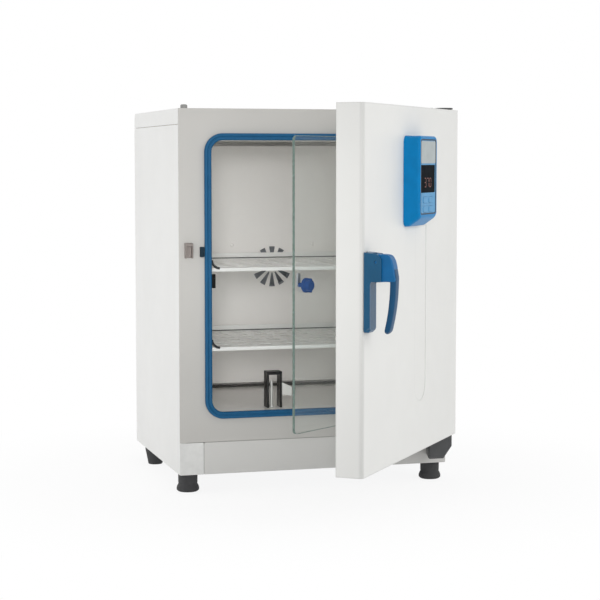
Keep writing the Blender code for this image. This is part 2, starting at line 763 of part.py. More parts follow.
def build_heater(cabinet):
    """Tubular heater in a ring round the wheel, with both legs through the chamber's rear."""
    start, end = HEATER_ENDS_DEG
    ring_y = FAN_FRONT + FAN_WIDTH / 2
    path = []
    for step in range(HEATER_STEPS + 1):
        x, z = heater_point(start + (end - start) * step / HEATER_STEPS)
        path.append((x, ring_y, z))
    leg = HEATER_TUBE * 2
    leg_back = LINER_BACK + leg
    first, last = path[0], path[-1]
    path = [(first[0], leg_back, first[2])] + path + [(last[0], leg_back, last[2])]
    add_piece("heater_ring", tube(path, HEATER_TUBE), cabinet, "zinc_steel")


def tube(path, radius):
    """Circles square to a path, mitred at its turns."""
    loops = []
    for index, point in enumerate(path):
        before = path[max(index - 1, 0)]
        after = path[min(index + 1, len(path) - 1)]
        ahead = unit([b - a for a, b in zip(before, after)])
        out = unit((point[0] - FAN_X, 0.0, point[2] - FAN_Z))
        side = cross(ahead, out)
        stretch = mitre(before, point, after)
        ring = []
        for step in range(TUBE_SIDES):
            angle = 2 * math.pi * step / TUBE_SIDES
            u = radius * math.cos(angle)
            v = radius * math.sin(angle) * stretch
            ring.append(tuple(p + u * o + v * s for p, o, s in zip(point, out, side)))
        loops.append(ring)
    return loops


def mitre(before, point, after):
    """How much wider a tube's cross-section is where its path turns."""
    if before == point or after == point:
        return 1.0
    incoming = unit([b - a for a, b in zip(before, point)])
    outgoing = unit([b - a for a, b in zip(point, after)])
    cosine = sum(a * b for a, b in zip(incoming, outgoing))
    return 1.0 / math.sqrt((1.0 + cosine) / 2.0)


def unit(vector):
    """A direction of length one."""
    length = math.sqrt(sum(value * value for value in vector))
    return [value / length for value in vector]


def cross(a, b):
    """Direction square to two others."""
    return [a[1] * b[2] - a[2] * b[1], a[2] * b[0] - a[0] * b[2], a[0] * b[1] - a[1] * b[0]]


# Shelves

def shelf_reach(side):
    """Edge of a shelf and the direction towards the chamber's middle on one side."""
    wall = CHAMBER_LEFT if side < 0 else CHAMBER_RIGHT
    return wall, -side


def build_supports(cabinet):
    """Perforated frames on both side walls of the chamber."""
    area = (SUPPORT_FRONT, SUPPORT_BACK, CHAMBER_FLOOR + SUPPORT_MARGIN, CHAMBER_TOP - SUPPORT_MARGIN,
            SHEET_ROUNDING)
    opening = inset(area, SUPPORT_BAR)
    for name, side in (("left", -1), ("right", 1)):
        wall, inward = shelf_reach(side)
        x0 = wall + inward * GAP
        x1 = x0 + inward * SUPPORT_SHEET
        loops = [at_x(rectangle(area), x0), at_x(rectangle(area), x1),
                 at_x(rectangle(opening), x1), at_x(rectangle(opening), x0)]
        support = add_piece(f"shelf_support_{name}", loops, cabinet, "polished_steel", ring=True)
        cut(support, *support_holes(area, min(x0, x1) - GAP, max(x0, x1) + GAP))


def support_holes(area, x0, x1):
    """Rows of holes for the runners' hooks in both uprights."""
    y0, y1, z0, z1, _ = area
    holes = []
    pitch = (z1 - z0 - 2 * SUPPORT_BAR) / SUPPORT_HOLES
    half = SUPPORT_HOLE / 2
    for y in (y0 + SUPPORT_BAR / 2, y1 - SUPPORT_BAR / 2):
        for index in range(SUPPORT_HOLES):
            z = z0 + SUPPORT_BAR + (index + 0.5) * pitch
            outline = box_outline(y - half, y + half, z - SUPPORT_HOLE, z + SUPPORT_HOLE)
            holes.append(along_x(outline, x0, x1))
    return holes


def build_runners(cabinet):
    """Angle runners on the supports, under each shelf."""
    start = SHELF_FRONT + 2 * SHEET
    end = SHELF_FRONT + SHELF_DEPTH - SHEET
    for level, height in SHELF_LEVELS:
        top = height - GAP
        for name, side in (("left", -1), ("right", 1)):
            wall, inward = shelf_reach(side)
            web = wall + inward * (SUPPORT_SHEET + 2 * GAP)
            edge = web + inward * SHEET
            tip = web + inward * RUNNER_LEDGE
            outline = [(web, top), (web, top - RUNNER_WEB), (edge, top - RUNNER_WEB),
                       (edge, top - SHEET), (tip, top - SHEET), (tip, top)]
            add_piece(f"runner_{level}_{name}", along_y(outline, start, end), cabinet, "polished_steel")


def build_shelves(cabinet):
    """Perforated sliding shelves with a front lip and a rear upstand."""
    front = SHELF_FRONT
    back = front + SHELF_DEPTH
    x0 = CHAMBER_LEFT + SHELF_SIDE_GAP
    x1 = CHAMBER_RIGHT - SHELF_SIDE_GAP
    for level, z in SHELF_LEVELS:
        carrier = add_frame(f"shelf_{level}_slide", (0.0, front, z), cabinet)
        outline = [(front, z - SHELF_LIP), (front + SHEET, z - SHELF_LIP), (front + SHEET, z),
                   (back, z), (back, z + SHELF_UPSTAND), (back - SHEET, z + SHELF_UPSTAND),
                   (back - SHEET, z + SHEET), (front, z + SHEET)]
        shelf = add_piece(f"shelf_{level}", along_x(outline, x0, x1), carrier, "polished_steel")
        cut(shelf, *shelf_slots(x0, x1, front, back, z))


def shelf_slots(x0, x1, front, back, z):
    """Grid of slots through a shelf."""
    border = RUNNER_LEDGE + SHEET
    pitch_x = (x1 - x0 - 2 * border) / SHELF_COLUMNS
    pitch_y = (back - front - 2 * border) / SHELF_ROWS
    slots = []
    for column in range(SHELF_COLUMNS):
        for row in range(SHELF_ROWS):
            x = x0 + border + (column + 0.5) * pitch_x
            y = front + border + (row + 0.5) * pitch_y
            outline = box_outline(x - SHELF_SLOT[0] / 2, x + SHELF_SLOT[0] / 2,
                                  y - SHELF_SLOT[1] / 2, y + SHELF_SLOT[1] / 2)
            slots.append(along_z(outline, z - GAP, z + SHEET + GAP))
    return slots


def probe_place():
    """Where the sensor post stands, in the middle of its guard."""
    return GUARD_X, GUARD_Y + GUARD_DEPTH / 2


def build_probe(cabinet):
    """Sensor post through the chamber's floor and the guard bent round it."""
    x, y = probe_place()
    floor = CHAMBER_FLOOR
    collar = 1.5 * PROBE_RADIUS
    profile = [(floor - PROBE_TAIL, PROBE_RADIUS), (floor + GAP, PROBE_RADIUS), (floor + GAP, collar),
               (floor + collar, collar), (floor + collar, PROBE_RADIUS),
               (floor + PROBE_HEIGHT - PROBE_RADIUS, PROBE_RADIUS),
               (floor + PROBE_HEIGHT, PROBE_RADIUS / 2)]
    add_piece("temperature_probe", turned_z(x, y, profile, 12), cabinet, "zinc_steel")
    bottom = floor + GAP
    top = bottom + GUARD_HEIGHT
    x0, x1 = x - GUARD_WIDTH / 2, x + GUARD_WIDTH / 2
    outline = [(x0, bottom), (x0 + SHEET, bottom), (x0 + SHEET, top - SHEET), (x1 - SHEET, top - SHEET),
               (x1 - SHEET, bottom), (x1, bottom), (x1, top), (x0, top)]
    loops = along_y(outline, GUARD_Y, GUARD_Y + GUARD_DEPTH)
    guard = add_piece("probe_guard", loops, cabinet, "polished_steel")
    join(guard, guard_tab(x1, bottom, top))


def guard_tab(x1, bottom, top):
    """Ear on the right of the guard, with a slanting top."""
    middle = (bottom + top) / 2
    half = GUARD_TAB[1] / 2
    outline = [(x1 - SHEET, middle - half), (x1 + GUARD_TAB[0], middle - half),
               (x1 + GUARD_TAB[0], middle + half / 2), (x1 - SHEET, middle + half)]
    return along_y(outline, GUARD_Y, GUARD_Y + SHEET)


# Inside the casing

def build_jacket(cabinet):
    """Insulation that fills the casing round the chamber."""
    side = SHEET + JACKET_MARGIN
    front = SKIN_Y + SHEET + GAP
    top = COVER_BOTTOM + COVER_ROUNDING - SHEET
    area = (LEFT + side, RIGHT - side, FASCIA_TOP + JACKET_BOTTOM_MARGIN, top, SHEET_ROUNDING)
    cavity = inset(CHAMBER, -SHEET - GAP)
    back = REAR_Y - SHEET - GAP
    loops = [at_y(rectangle(cavity), LINER_BACK + GAP), at_y(rectangle(cavity), front),
             at_y(rectangle(area), front), at_y(rectangle(area), back)]
    jacket = add_piece("insulation_jacket", loops, cabinet, "jacket_wool")
    through = (LINER_BACK, DEPTH)
    bores = [along_y(circle(FAN_X, FAN_Z, MOTOR_RADIUS + GAP), *through)]
    for angle in HEATER_ENDS_DEG:
        x, z = heater_point(angle)
        bores.append(along_y(circle(x, z, HEATER_TUBE + GAP), LINER_BACK, LINER_BACK + 3 * HEATER_TUBE))
    x, y = probe_place()
    well = CHAMBER_FLOOR - PROBE_TAIL - PROBE_RADIUS
    bores.append(along_z(circle(x, y, PROBE_RADIUS + GAP), well, CHAMBER_FLOOR))
    cut(jacket, *bores)


def build_supply(cabinet):
    """Power supply in the lower compartment and the mains inlet on the rear."""
    x, y = SUPPLY_PLACE
    base = FOOT_HEIGHT + BASE_SHEET + GAP
    area = (x - SUPPLY_SIZE[0] / 2, x + SUPPLY_SIZE[0] / 2, y - SUPPLY_SIZE[1] / 2,
            y + SUPPLY_SIZE[1] / 2, 2 * SHEET_ROUNDING)
    lid = inset(area, SHEET_ROUNDING)
    top = base + SUPPLY_SIZE[2]
    loops = [at_z(rectangle(area), base), at_z(rectangle(area), top - SHEET_ROUNDING),
             at_z(rectangle(lid), top)]
    add_piece("power_supply", loops, cabinet, "zinc_steel")
    build_inlet(cabinet)


def build_inlet(cabinet):
    """Mains socket with its flange on the rear panel and three blades."""
    flange = inlet_area(INLET_FLANGE, 0.0)
    body = inlet_area(INLET_SIZE, 0.0)
    socket = inset(body, FACE_SHEET)
    outside = DEPTH + GAP
    face = outside + INLET_FACE
    inner_end = outside - INLET_DEPTH
    loops = [at_y(rectangle(body), inner_end), at_y(rectangle(body), outside),
             at_y(rectangle(flange), outside), at_y(rectangle(flange), face),
             at_y(rectangle(socket), face), at_y(rectangle(socket), inner_end + FACE_SHEET)]
    inlet = add_piece("mains_inlet", loops, cabinet, "rubber_black")
    blades = []
    for offset, rise in ((-INLET_SIZE[0] / 4, 0.0), (0.0, INLET_BLADE[1] / 2), (INLET_SIZE[0] / 4, 0.0)):
        x = INLET_X + offset
        z = INLET_Z + rise
        blade = box_outline(x - INLET_BLADE[0] / 2, x + INLET_BLADE[0] / 2,
                            z - INLET_BLADE[1] / 2, z + INLET_BLADE[1] / 2)
        blades.append(along_y(blade, inner_end + GAP, face - INLET_BLADE_SETBACK))
    join(inlet, *blades)


# Outer door

def door_plan(wall):
    """Plan of the outer door, drawn in by a wall and open at the rear where it has one."""
    radius = DOOR_ROUNDING - wall
    front = DOOR_FRONT + wall
    back = DOOR_BACK + (SHEET if wall else 0.0)
    left, right = LEFT + wall, RIGHT - wall
    return ([(left, back)] + arc(left + radius, front + radius, radius, 180, 270, CORNER_STEPS)
            + arc(right - radius, front + radius, radius, 270, 360, CORNER_STEPS) + [(right, back)])


def build_door_panels(door):
    """Outer door: a folded skin, a pressed inner panel and foam between them."""
    outer = add_piece("door_outer_panel", along_z(door_plan(0.0), DOOR_BOTTOM, DOOR_TOP), door,
                      "door_white")
    hollow = along_z(door_plan(DOOR_SKIN), DOOR_BOTTOM + DOOR_SKIN, DOOR_TOP - DOOR_SKIN)
    cut(outer, hollow)
    cut(outer, *door_pin_bores(), latch_slot(), cable_hole(), pressed_groove())
    build_inner_panel(door)
    build_door_foam(door)
    build_door_seal(door)


def door_pin_bores():
    """Bores for the hinge pins in the door's foot and head."""
    x, y = DOOR_AXIS
    bore = circle(x, y, HINGE_PIN + PIN_CLEARANCE)
    reach = HINGE_PIN_LENGTH + 4 * PIN_CLEARANCE
    return (along_z(bore, DOOR_BOTTOM - GAP, DOOR_BOTTOM + reach),
            along_z(bore, DOOR_TOP - reach, DOOR_TOP + GAP))


def latch_slot():
    """Slot for the latch hook through the whole door."""
    half = SLOT_WIDTH / 2
    outline = box_outline(HANDLE_X - half, HANDLE_X + half,
                          LEVER_PIVOT_Z - POCKET_RISE, LEVER_PIVOT_Z + POCKET_RISE)
    return along_y(outline, DOOR_FRONT - HANDLE_BASE - SHEET, 0.0)


def striker_pocket():
    """Pocket in the door's rear that takes the striker in when the door is shut."""
    half = STRIKER_WIDTH / 2 + POCKET_CLEARANCE
    outline = box_outline(HANDLE_X - half, HANDLE_X + half,
                          LEVER_PIVOT_Z - POCKET_RISE, LEVER_PIVOT_Z + POCKET_RISE)
    return along_y(outline, DOOR_BACK - POCKET_DEPTH, 0.0)


def cable_hole():
    """Hole for the control's cable behind the housing."""
    return along_y(circle(HOUSING_X, WINDOW_Z, CABLE_HOLE_RADIUS), DOOR_FRONT - GAP,
                   DOOR_FRONT + DOOR_SKIN + GAP)


def pressed_groove():
    """Shallow tongue pressed into the door's face below the control housing."""
    half = GROOVE_WIDTH / 2
    shoulder = GROOVE_BOTTOM + half
    outline = arc(GROOVE_X, shoulder, half, 180, 360, 2 * CORNER_STEPS)
    top = HOUSING_BOTTOM - SEAM
    outline += [(GROOVE_X + half, top), (GROOVE_X - half, top)]
    return along_y(outline, DOOR_FRONT - GAP, DOOR_FRONT + GROOVE_DEPTH)


def recess_area(grow):
    """Mouth of the inner panel's recess, which clears the glass door and its hinges."""
    outer = inset(CHAMBER, -GASKET_OUT - RECESS_MARGIN)
    x0, x1, z0, z1, radius = outer
    right = CHAMBER_RIGHT + GASKET_OUT + RECESS_HINGE_MARGIN
    return inset((x0, right, z0, z1, radius), -grow)


def panel_area(margin):
    """Outline inside the door's folded skin."""
    edge = DOOR_SKIN + margin
    return (LEFT + edge, RIGHT - edge, DOOR_BOTTOM + edge, DOOR_TOP - edge, SHEET_ROUNDING)


def build_inner_panel(door):
    """Pressed inner panel with the recess for the glass door."""
    border = rectangle(panel_area(GAP))
    floor = DOOR_BACK - RECESS_DEPTH
    back = DOOR_BACK - DOOR_SKIN
    mouth = rectangle(recess_area(0.0))
    mouth_back = rectangle(recess_area(DOOR_SKIN))
    pan = rectangle(recess_area(-RECESS_DRAFT))
    pan_back = rectangle(recess_area(DOOR_SKIN - RECESS_DRAFT))
    loops = [at_y(pan, floor), at_y(mouth, DOOR_BACK), at_y(border, DOOR_BACK), at_y(border, back),
             at_y(mouth_back, back), at_y(pan_back, floor - DOOR_SKIN)]
    panel = add_piece("door_inner_panel", loops, door, "door_white")
    cut(panel, striker_pocket())


def build_door_foam(door):
    """Insulation between the door's two panels."""
    skin_side = DOOR_FRONT + DOOR_SKIN + GAP
    back = DOOR_BACK - DOOR_SKIN - GAP
    border = rectangle(panel_area(DOOR_ROUNDING - DOOR_SKIN))
    mouth = rectangle(recess_area(DOOR_SKIN + GAP))
    pan = rectangle(recess_area(DOOR_SKIN + GAP - RECESS_DRAFT))
    pan_y = DOOR_BACK - RECESS_DEPTH - DOOR_SKIN - GAP
    loops = [at_y(pan, pan_y), at_y(mouth, back), at_y(border, back), at_y(border, skin_side)]
    foam = add_piece("door_insulation", loops, door, "foam_cream")
    cut(foam, latch_slot())
    cut(foam, striker_pocket())
    cut(foam, *door_pin_bores())


def build_door_seal(door):
    """Magnetic seal round the recess, which meets the front frame."""
    inner = recess_area(SEAL_SETBACK)
    outer = inset(inner, -SEAL_WIDTH)
    front = DOOR_BACK + GAP
    rear = -SEAM
    loops = [at_y(rectangle(outer), front), at_y(rectangle(outer), rear),
             at_y(rectangle(inner), rear), at_y(rectangle(inner), front)]
    add_piece("door_seal", loops, door, "seal_grey", ring=True)


def build_hinge_brackets(cabinet):
    """Lower angle bracket and upper strap, each with its pin on the door's axis."""
    x, y = DOOR_AXIS
    pin = circle(x, y, HINGE_PIN)
    top = DOOR_BOTTOM - DOOR_BOTTOM_GAP + GAP
    right = RIGHT - BRACKET_EDGE
    left = right - BRACKET_WIDTH
    low = BRACKET_BOTTOM
    outline = [(right, top), (left, top), (left, low + BRACKET_EDGE), (left + BRACKET_EDGE, low),
               (right - BRACKET_CORNER, low), (right, low + BRACKET_CORNER)]
    nose_y = -BRACKET_REACH
    nose_back = nose_y + BRACKET_CHAMFER
    nose = [(right, top), (left + BRACKET_EDGE, top), (left + BRACKET_EDGE, low + 3 * BRACKET_EDGE),
            (left + 2 * BRACKET_EDGE, low + 2 * BRACKET_EDGE),
            (right - BRACKET_CORNER, low + 2 * BRACKET_EDGE), (right, low + BRACKET_CORNER)]
    loops = [at_y(outline, -GAP), at_y(outline, nose_back), at_y(nose, nose_y)]
    lower = add_piece("hinge_bracket_lower", loops, cabinet, "bracket_grey")
    join(lower, along_z(pin, top - BRACKET_EDGE, DOOR_BOTTOM + HINGE_PIN_LENGTH))
    build_top_bracket(cabinet, pin)


def build_top_bracket(cabinet, pin):
    """Strap on top of the casing that carries the upper pin."""
    base = HEIGHT + GAP
    half = TOP_BRACKET_WIDTH / 2
    left = RIGHT - BRACKET_EDGE - TOP_BRACKET_WIDTH
    right = RIGHT - BRACKET_EDGE
    front = DOOR_AXIS[1] - HINGE_INSET
    middle = (left + right) / 2
    plan = ([(right, TOP_BRACKET_BACK), (left, TOP_BRACKET_BACK)]
            + arc(middle, front + half, half, 180, 360, 2 * CORNER_STEPS))
    strap = add_piece("hinge_bracket_upper", along_z(plan, base, base + TOP_BRACKET_SHEET), cabinet,
                      "bracket_grey")
    join(strap, along_z(pin, DOOR_TOP - HINGE_PIN_LENGTH, base + TOP_BRACKET_SHEET / 2))


def build_cap(cabinet):
    """Cap on the hole of the unused left hinge."""
    x = LEFT + CAP_INSET
    base = HEIGHT + GAP
    profile = [(base, CAP_RADIUS), (base + CAP_SHOULDER, CAP_RADIUS), (base + CAP_HEIGHT, CAP_TIP_RADIUS)]
    add_piece("blanking_cap", turned_z(x, CAP_INSET, profile, 16), cabinet, "bracket_grey")


# Latch

def build_striker(cabinet):
    """Steel striker: a foot on the frame, two ears and a bar across them."""
    half = STRIKER_WIDTH / 2
    x0, x1 = HANDLE_X - half, HANDLE_X + half
    z0 = STRIKER_BOTTOM
    z1 = z0 + STRIKER_HEIGHT
    foot = STRIKER_SHEET
    plan = [(x0, -GAP), (x0, -STRIKER_REACH), (x1, -STRIKER_REACH), (x1, -GAP)]
    striker = add_piece("latch_striker", along_z(plan, z0, z1), cabinet, "zinc_steel")
    inner = (x0 + foot, x1 - foot)
    bar_low = hook_rise_limit() + SEAM
    below = box_outline(-STRIKER_REACH - GAP, -GAP - foot, z0 - GAP, bar_low)
    bar_back = -STRIKER_REACH + STRIKER_BAR
    behind = box_outline(bar_back, -GAP - foot, z0 - GAP, z1 + GAP)
    above = box_outline(-STRIKER_REACH - GAP, -GAP - foot, bar_low + STRIKER_BAR, z1 + GAP)
    for outline in (below, behind, above):
        cut(striker, along_x(outline, *inner))


def hook_rise_limit():
    """Height of the hook's upper edge under the bar once the lever has lifted it."""
    arm = LEVER_PIVOT - DOOR_FRONT - STRIKER_REACH + STRIKER_BAR
    return LEVER_PIVOT_Z + HOOK_HEIGHT / 2 + arm * math.sin(math.radians(HOOK_LIFT_DEG))


def build_hook(lever):
    """Hook on the lever that reaches through the door to the striker."""
    low = LEVER_PIVOT_Z - HOOK_HEIGHT / 2
    high = LEVER_PIVOT_Z + HOOK_HEIGHT / 2
    root = DOOR_FRONT - (LEVER_PIVOT - lever_back()) + GAP
    tip = -GAP - STRIKER_SHEET - HOOK_TIP_GAP
    tooth = tip - HOOK_TOOTH
    tooth_top = hook_rise_limit() + SEAM - 1.3 * GAP
    outline = [(root, low), (tip - HOOK_TOOTH / 2, low), (tip, low + HOOK_HEIGHT / 2), (tip, tooth_top),
               (tooth, tooth_top), (tooth, high), (root, high)]
    half = HOOK_WIDTH / 2
    add_piece("latch_hook", along_x(outline, HANDLE_X - half, HANDLE_X + half), lever, "zinc_steel")


def lever_back():
    """How far behind its pin the lever's back stands."""
    return LEVER_PIVOT - HANDLE_BASE - LEVER_CLEARANCE


def out_of_door(profile):
    """Turns a side view given as distance out of the door's face and height into Y and Z."""
    return [(DOOR_FRONT - out, z) for out, z in profile]


def build_handle_base(door):
    """Back plate with two cheeks that hold the lever's pin."""
    half = HANDLE_WIDTH / 2
    low, top, step = HANDLE_BOTTOM, HANDLE_TOP, HANDLE_BLOCK_BOTTOM
    base, reach = HANDLE_BASE, HANDLE_CHEEK_REACH
    bend = HANDLE_CHEEK
    profile = [(GAP, low), (base - bend, low), (base, low + bend), (base, step - bend),
               (base + bend / 2, step), (reach - bend / 2, step), (reach, step + bend),
               (reach, top - 2 * bend), (reach - 2 * bend, top), (GAP, top)]
    plate = add_piece("handle_base", along_x(out_of_door(profile), HANDLE_X - half, HANDLE_X + half),
                      door, "handle_blue")
    slot_half = half - HANDLE_CHEEK
    slot = box_outline(base, reach + bend, step - bend, top + bend)
    cut(plate, along_x(out_of_door(slot), HANDLE_X - slot_half, HANDLE_X + slot_half))
    cut(plate, latch_slot())
    bore = circle(LEVER_PIVOT_Y, LEVER_PIVOT_Z, LEVER_PIN + GAP, 16)
    cut(plate, along_x(bore, HANDLE_X - half - GAP, HANDLE_X + half + GAP))
    pin = circle(LEVER_PIVOT_Y, LEVER_PIVOT_Z, LEVER_PIN, 16)
    end = half - SHEET
    add_piece("handle_pin", along_x(pin, HANDLE_X - end, HANDLE_X + end), door, "zinc_steel")


def head_profile():
    """Side view of the lever's head, between the cheeks and out to the grip."""
    back = LEVER_PIVOT - lever_back()
    top, step = HANDLE_TOP - SHEET, HANDLE_BLOCK_BOTTOM
    out = HANDLE_REACH
    grip = GRIP_THICKNESS
    rise = top - LEVER_PIVOT_Z
    drop = LEVER_PIVOT_Z - step
    lean = math.tan(math.radians(3 * HOOK_LIFT_DEG))
    hollow = math.tan(math.radians(2 * HOOK_LIFT_DEG))
    return [(back + drop * hollow, step), (back, LEVER_PIVOT_Z), (back + rise * lean, top),
            (out - 2 * grip, top), (out - grip, top - grip / 2), (out - grip / 4, step + grip),
            (out - SHEET, step)]


def grip_loops():
    """Cross-sections of the grip, from inside the lever's head down to its tip."""
    top = HANDLE_BLOCK_BOTTOM + GRIP_THICKNESS
    tip = HANDLE_BOTTOM + GRIP_TIP_RISE
    loops = []
    for step in range(GRIP_STEPS + 1):
        share = step / GRIP_STEPS
        z = top + (tip - top) * share
        front = DOOR_FRONT - HANDLE_REACH + GRIP_LEAN * share ** 2
        back = front + GRIP_THICKNESS + (GRIP_TIP_THICKNESS - GRIP_THICKNESS) * share
        half = GRIP_WIDTH / 2 - GRIP_TAPER * share
        loops.append(at_z(box_outline(HANDLE_X - half, HANDLE_X + half, front, back), z))
    return loops


def build_lever(lever):
    """Lever of the handle and the hook that it works."""
    half = HANDLE_WIDTH / 2 - HANDLE_CHEEK - GAP
    profile = out_of_door(head_profile())
    piece = add_piece("handle_lever", along_x(profile, HANDLE_X - half, HANDLE_X + half), lever,
                      "handle_blue")
    join(piece, grip_loops())
    bore = circle(LEVER_PIVOT_Y, LEVER_PIVOT_Z, LEVER_PIN + GAP, 16)
    cut(piece, along_x(bore, HANDLE_X - half - GAP, HANDLE_X + half + GAP))
    build_hook(lever)


def build_contact(cabinet):
    """Magnetic contact beside the gasket that senses the outer door."""
    right = CHAMBER_LEFT - GASKET_OUT - 2 * SEAM
    area = (right - CONTACT_WIDTH, right, CONTACT_Z - CONTACT_HEIGHT / 2, CONTACT_Z + CONTACT_HEIGHT / 2,
            SHEET)
    face = inset(area, SHEET)
    loops = [at_y(rectangle(area), -GAP), at_y(rectangle(area), SHEET - CONTACT_DEPTH),
             at_y(rectangle(face), -CONTACT_DEPTH)]
    add_piece("door_contact", loops, cabinet, "rubber_black")


# Control

def housing_area(amount, rise=0.0):
    """Outline of the control housing, drawn in by an amount, with its foot raised."""
    half = HOUSING_WIDTH / 2
    area = (HOUSING_X - half, HOUSING_X + half, HOUSING_BOTTOM + rise, HOUSING_BOTTOM + HOUSING_HEIGHT,
            HOUSING_ROUNDING)
    return rectangle(inset(area, amount))


def build_control(door):
    """Control housing on the outer door with its face, display, board and keys."""
    base = DOOR_FRONT - GAP
    front = HOUSING_FRONT
    rim = HOUSING_TAPER + HOUSING_WALL
    slope, rise = HOUSING_SLOPE
    shoulder = 2 * HOUSING_TAPER
    shoulder_rise = rise * (slope - shoulder) / slope
    loops = [at_y(housing_area(0.0), base), at_y(housing_area(0.0), front + slope),
             at_y(housing_area(0.0, shoulder_rise), front + shoulder),
             at_y(housing_area(HOUSING_TAPER, rise), front), at_y(housing_area(rim, rise), front),
             at_y(housing_area(rim, rise), base)]
    add_piece("control_housing", loops, door, "control_blue", ring=True)
    face_front = front + FACE_RECESS
    face_back = face_front + FACE_THICKNESS
    inside = housing_area(rim + GAP, rise)
    face = add_piece("control_face", along_y(inside, face_front, face_back), door, "keypad_blue")
    window = window_area(GAP)
    openings = [along_y(rectangle(window), face_front - GAP, face_back + GAP)]
    for _, x, z in key_places():
        openings.append(along_y(key_outline(x, z, GAP), face_front - GAP, face_back + GAP))
    cut(face, *openings)
    loops = along_y(rectangle(window_area(0.0)), face_front + GAP, face_front + GAP + WINDOW_THICKNESS)
    add_piece("display_window", loops, door, "display_black")
    board_front = face_front + BOARD_SETBACK
    board = along_y(inside, board_front, board_front + BOARD_THICKNESS)
    add_piece("control_board", board, door, "board_green")
    build_keys(door, face_front)


def window_area(margin):
    """Outline of the display window."""
    half_x, half_z = WINDOW_SIZE[0] / 2 + margin, WINDOW_SIZE[1] / 2 + margin
    return (HOUSING_X - half_x, HOUSING_X + half_x, WINDOW_Z - half_z, WINDOW_Z + half_z, SHEET_ROUNDING)


def key_places():
    """Name and centre of each key, in two rows."""
    places = []
    for index, name in enumerate(KEY_NAMES):
        x = HOUSING_X + (index % 2 - 0.5) * KEY_PITCH[0]
        z = KEYS_Z + (0.5 - index // 2) * KEY_PITCH[1]
        places.append((name, x, z))
    return places


def key_outline(x, z, margin):
    """Outline of a key with a margin round it."""
    half_x, half_z = KEY_SIZE[0] / 2 + margin, KEY_SIZE[1] / 2 + margin
    return rectangle((x - half_x, x + half_x, z - half_z, z + half_z, KEY_ROUNDING))


def build_keys(door, face_front):
    """Short travel keys in the control's face."""
    front = face_front - KEY_PROUD
    back = face_front + BOARD_SETBACK - KEY_SETBACK
    for name, x, z in key_places():
        axis = add_frame(name + "_slide", (x, front, z), door)
        shoulder = front + KEY_PROUD / 2
        loops = [at_y(key_outline(x, z, -KEY_PROUD / 2), front), at_y(key_outline(x, z, 0.0), shoulder),
                 at_y(key_outline(x, z, 0.0), back)]
        add_piece(name, loops, axis, "keypad_blue")


# Glass door

def clamp_stud_x():
    """Where the clamps' studs pass through the glass, inside the gasket."""
    return CHAMBER_RIGHT - GASKET_LIP - 2 * CLAMP_WASHER


def build_glass(glass_door):
    """Glass pane with holes for its clamps and its knob."""
    area = inset(CHAMBER, GLASS_OVERLAP - GASKET_OUT)[:4] + (GLASS_ROUNDING,)
    pane = add_piece("glass_pane", along_y(rectangle(area), GLASS_BACK, GLASS_FRONT), glass_door,
                     "glass_clear")
    through = (GLASS_FRONT - GAP, GLASS_BACK + GAP)
    holes = [along_y(circle(KNOB_X, KNOB_Z, KNOB_SPINDLE + GAP, 16), *through)]
    for _, z in GLASS_HINGE_LEVELS:
        middle = z + BARREL_HEIGHT / 2
        holes.append(along_y(circle(clamp_stud_x(), middle, CLAMP_STUD + GAP, 12), *through))
    cut(pane, *holes)


def build_glass_hinges(cabinet, glass_door):
    """Lift-off hinges: a lug with a pin on the frame and a clamp with a barrel on the glass."""
    x, y = GLASS_AXIS
    foot = CHAMBER_RIGHT + GASKET_OUT + 2 * GAP
    lug_plan = ([(foot, -GAP), (foot, GASKET_FACE)] + arc(x, y, BARREL_RADIUS, 180, 360, CORNER_STEPS)
                + [(x + BARREL_RADIUS, -GAP)])
    for level, z in GLASS_HINGE_LEVELS:
        lug = add_piece(f"glass_hinge_{level}", along_z(lug_plan, z - BARREL_HEIGHT, z - GAP), cabinet,
                        "bracket_grey")
        join(lug, along_z(circle(x, y, BARREL_PIN, 12), z - BARREL_HEIGHT / 2, z + BARREL_HEIGHT))
        build_clamp(level, z, glass_door)


def build_clamp(level, z, glass_door):
    """Clamp on the glass: a plate, the hinge barrel, a stud and the washer behind the glass."""
    x, y = GLASS_AXIS
    front = GLASS_FRONT - GAP
    right = x - BARREL_RADIUS - CLAMP_SHEET / 2
    middle = z + BARREL_HEIGHT / 2
    area = (right - CLAMP_LENGTH, right, middle - CLAMP_HEIGHT / 2, middle + CLAMP_HEIGHT / 2, CLAMP_SHEET)
    clamp = add_piece(f"glass_clamp_{level}", along_y(rectangle(area), front - CLAMP_SHEET, front),
                      glass_door, "bracket_grey")
    barrel = along_z(circle(x, y, BARREL_RADIUS, 16), z, z + BARREL_HEIGHT)
    arm = along_z([(right - CLAMP_SHEET, front - CLAMP_SHEET), (x, y - BARREL_RADIUS),
                   (x, y), (right - CLAMP_SHEET, front)], z, z + BARREL_HEIGHT)
    stud = along_y(circle(clamp_stud_x(), middle, CLAMP_STUD, 12), front - GAP, GLASS_BACK + 2 * SHEET)
    washer = along_y(circle(clamp_stud_x(), middle, CLAMP_WASHER, 12), GLASS_BACK + GAP,
                     GLASS_BACK + GAP + 2 * SHEET)
    join(clamp, arm)
    join(clamp, barrel)
    join(clamp, stud)
    join(clamp, washer)
    cut(clamp, along_z(circle(x, y, BARREL_PIN + GAP, 12), z - GAP, z + BARREL_HEIGHT + GAP))


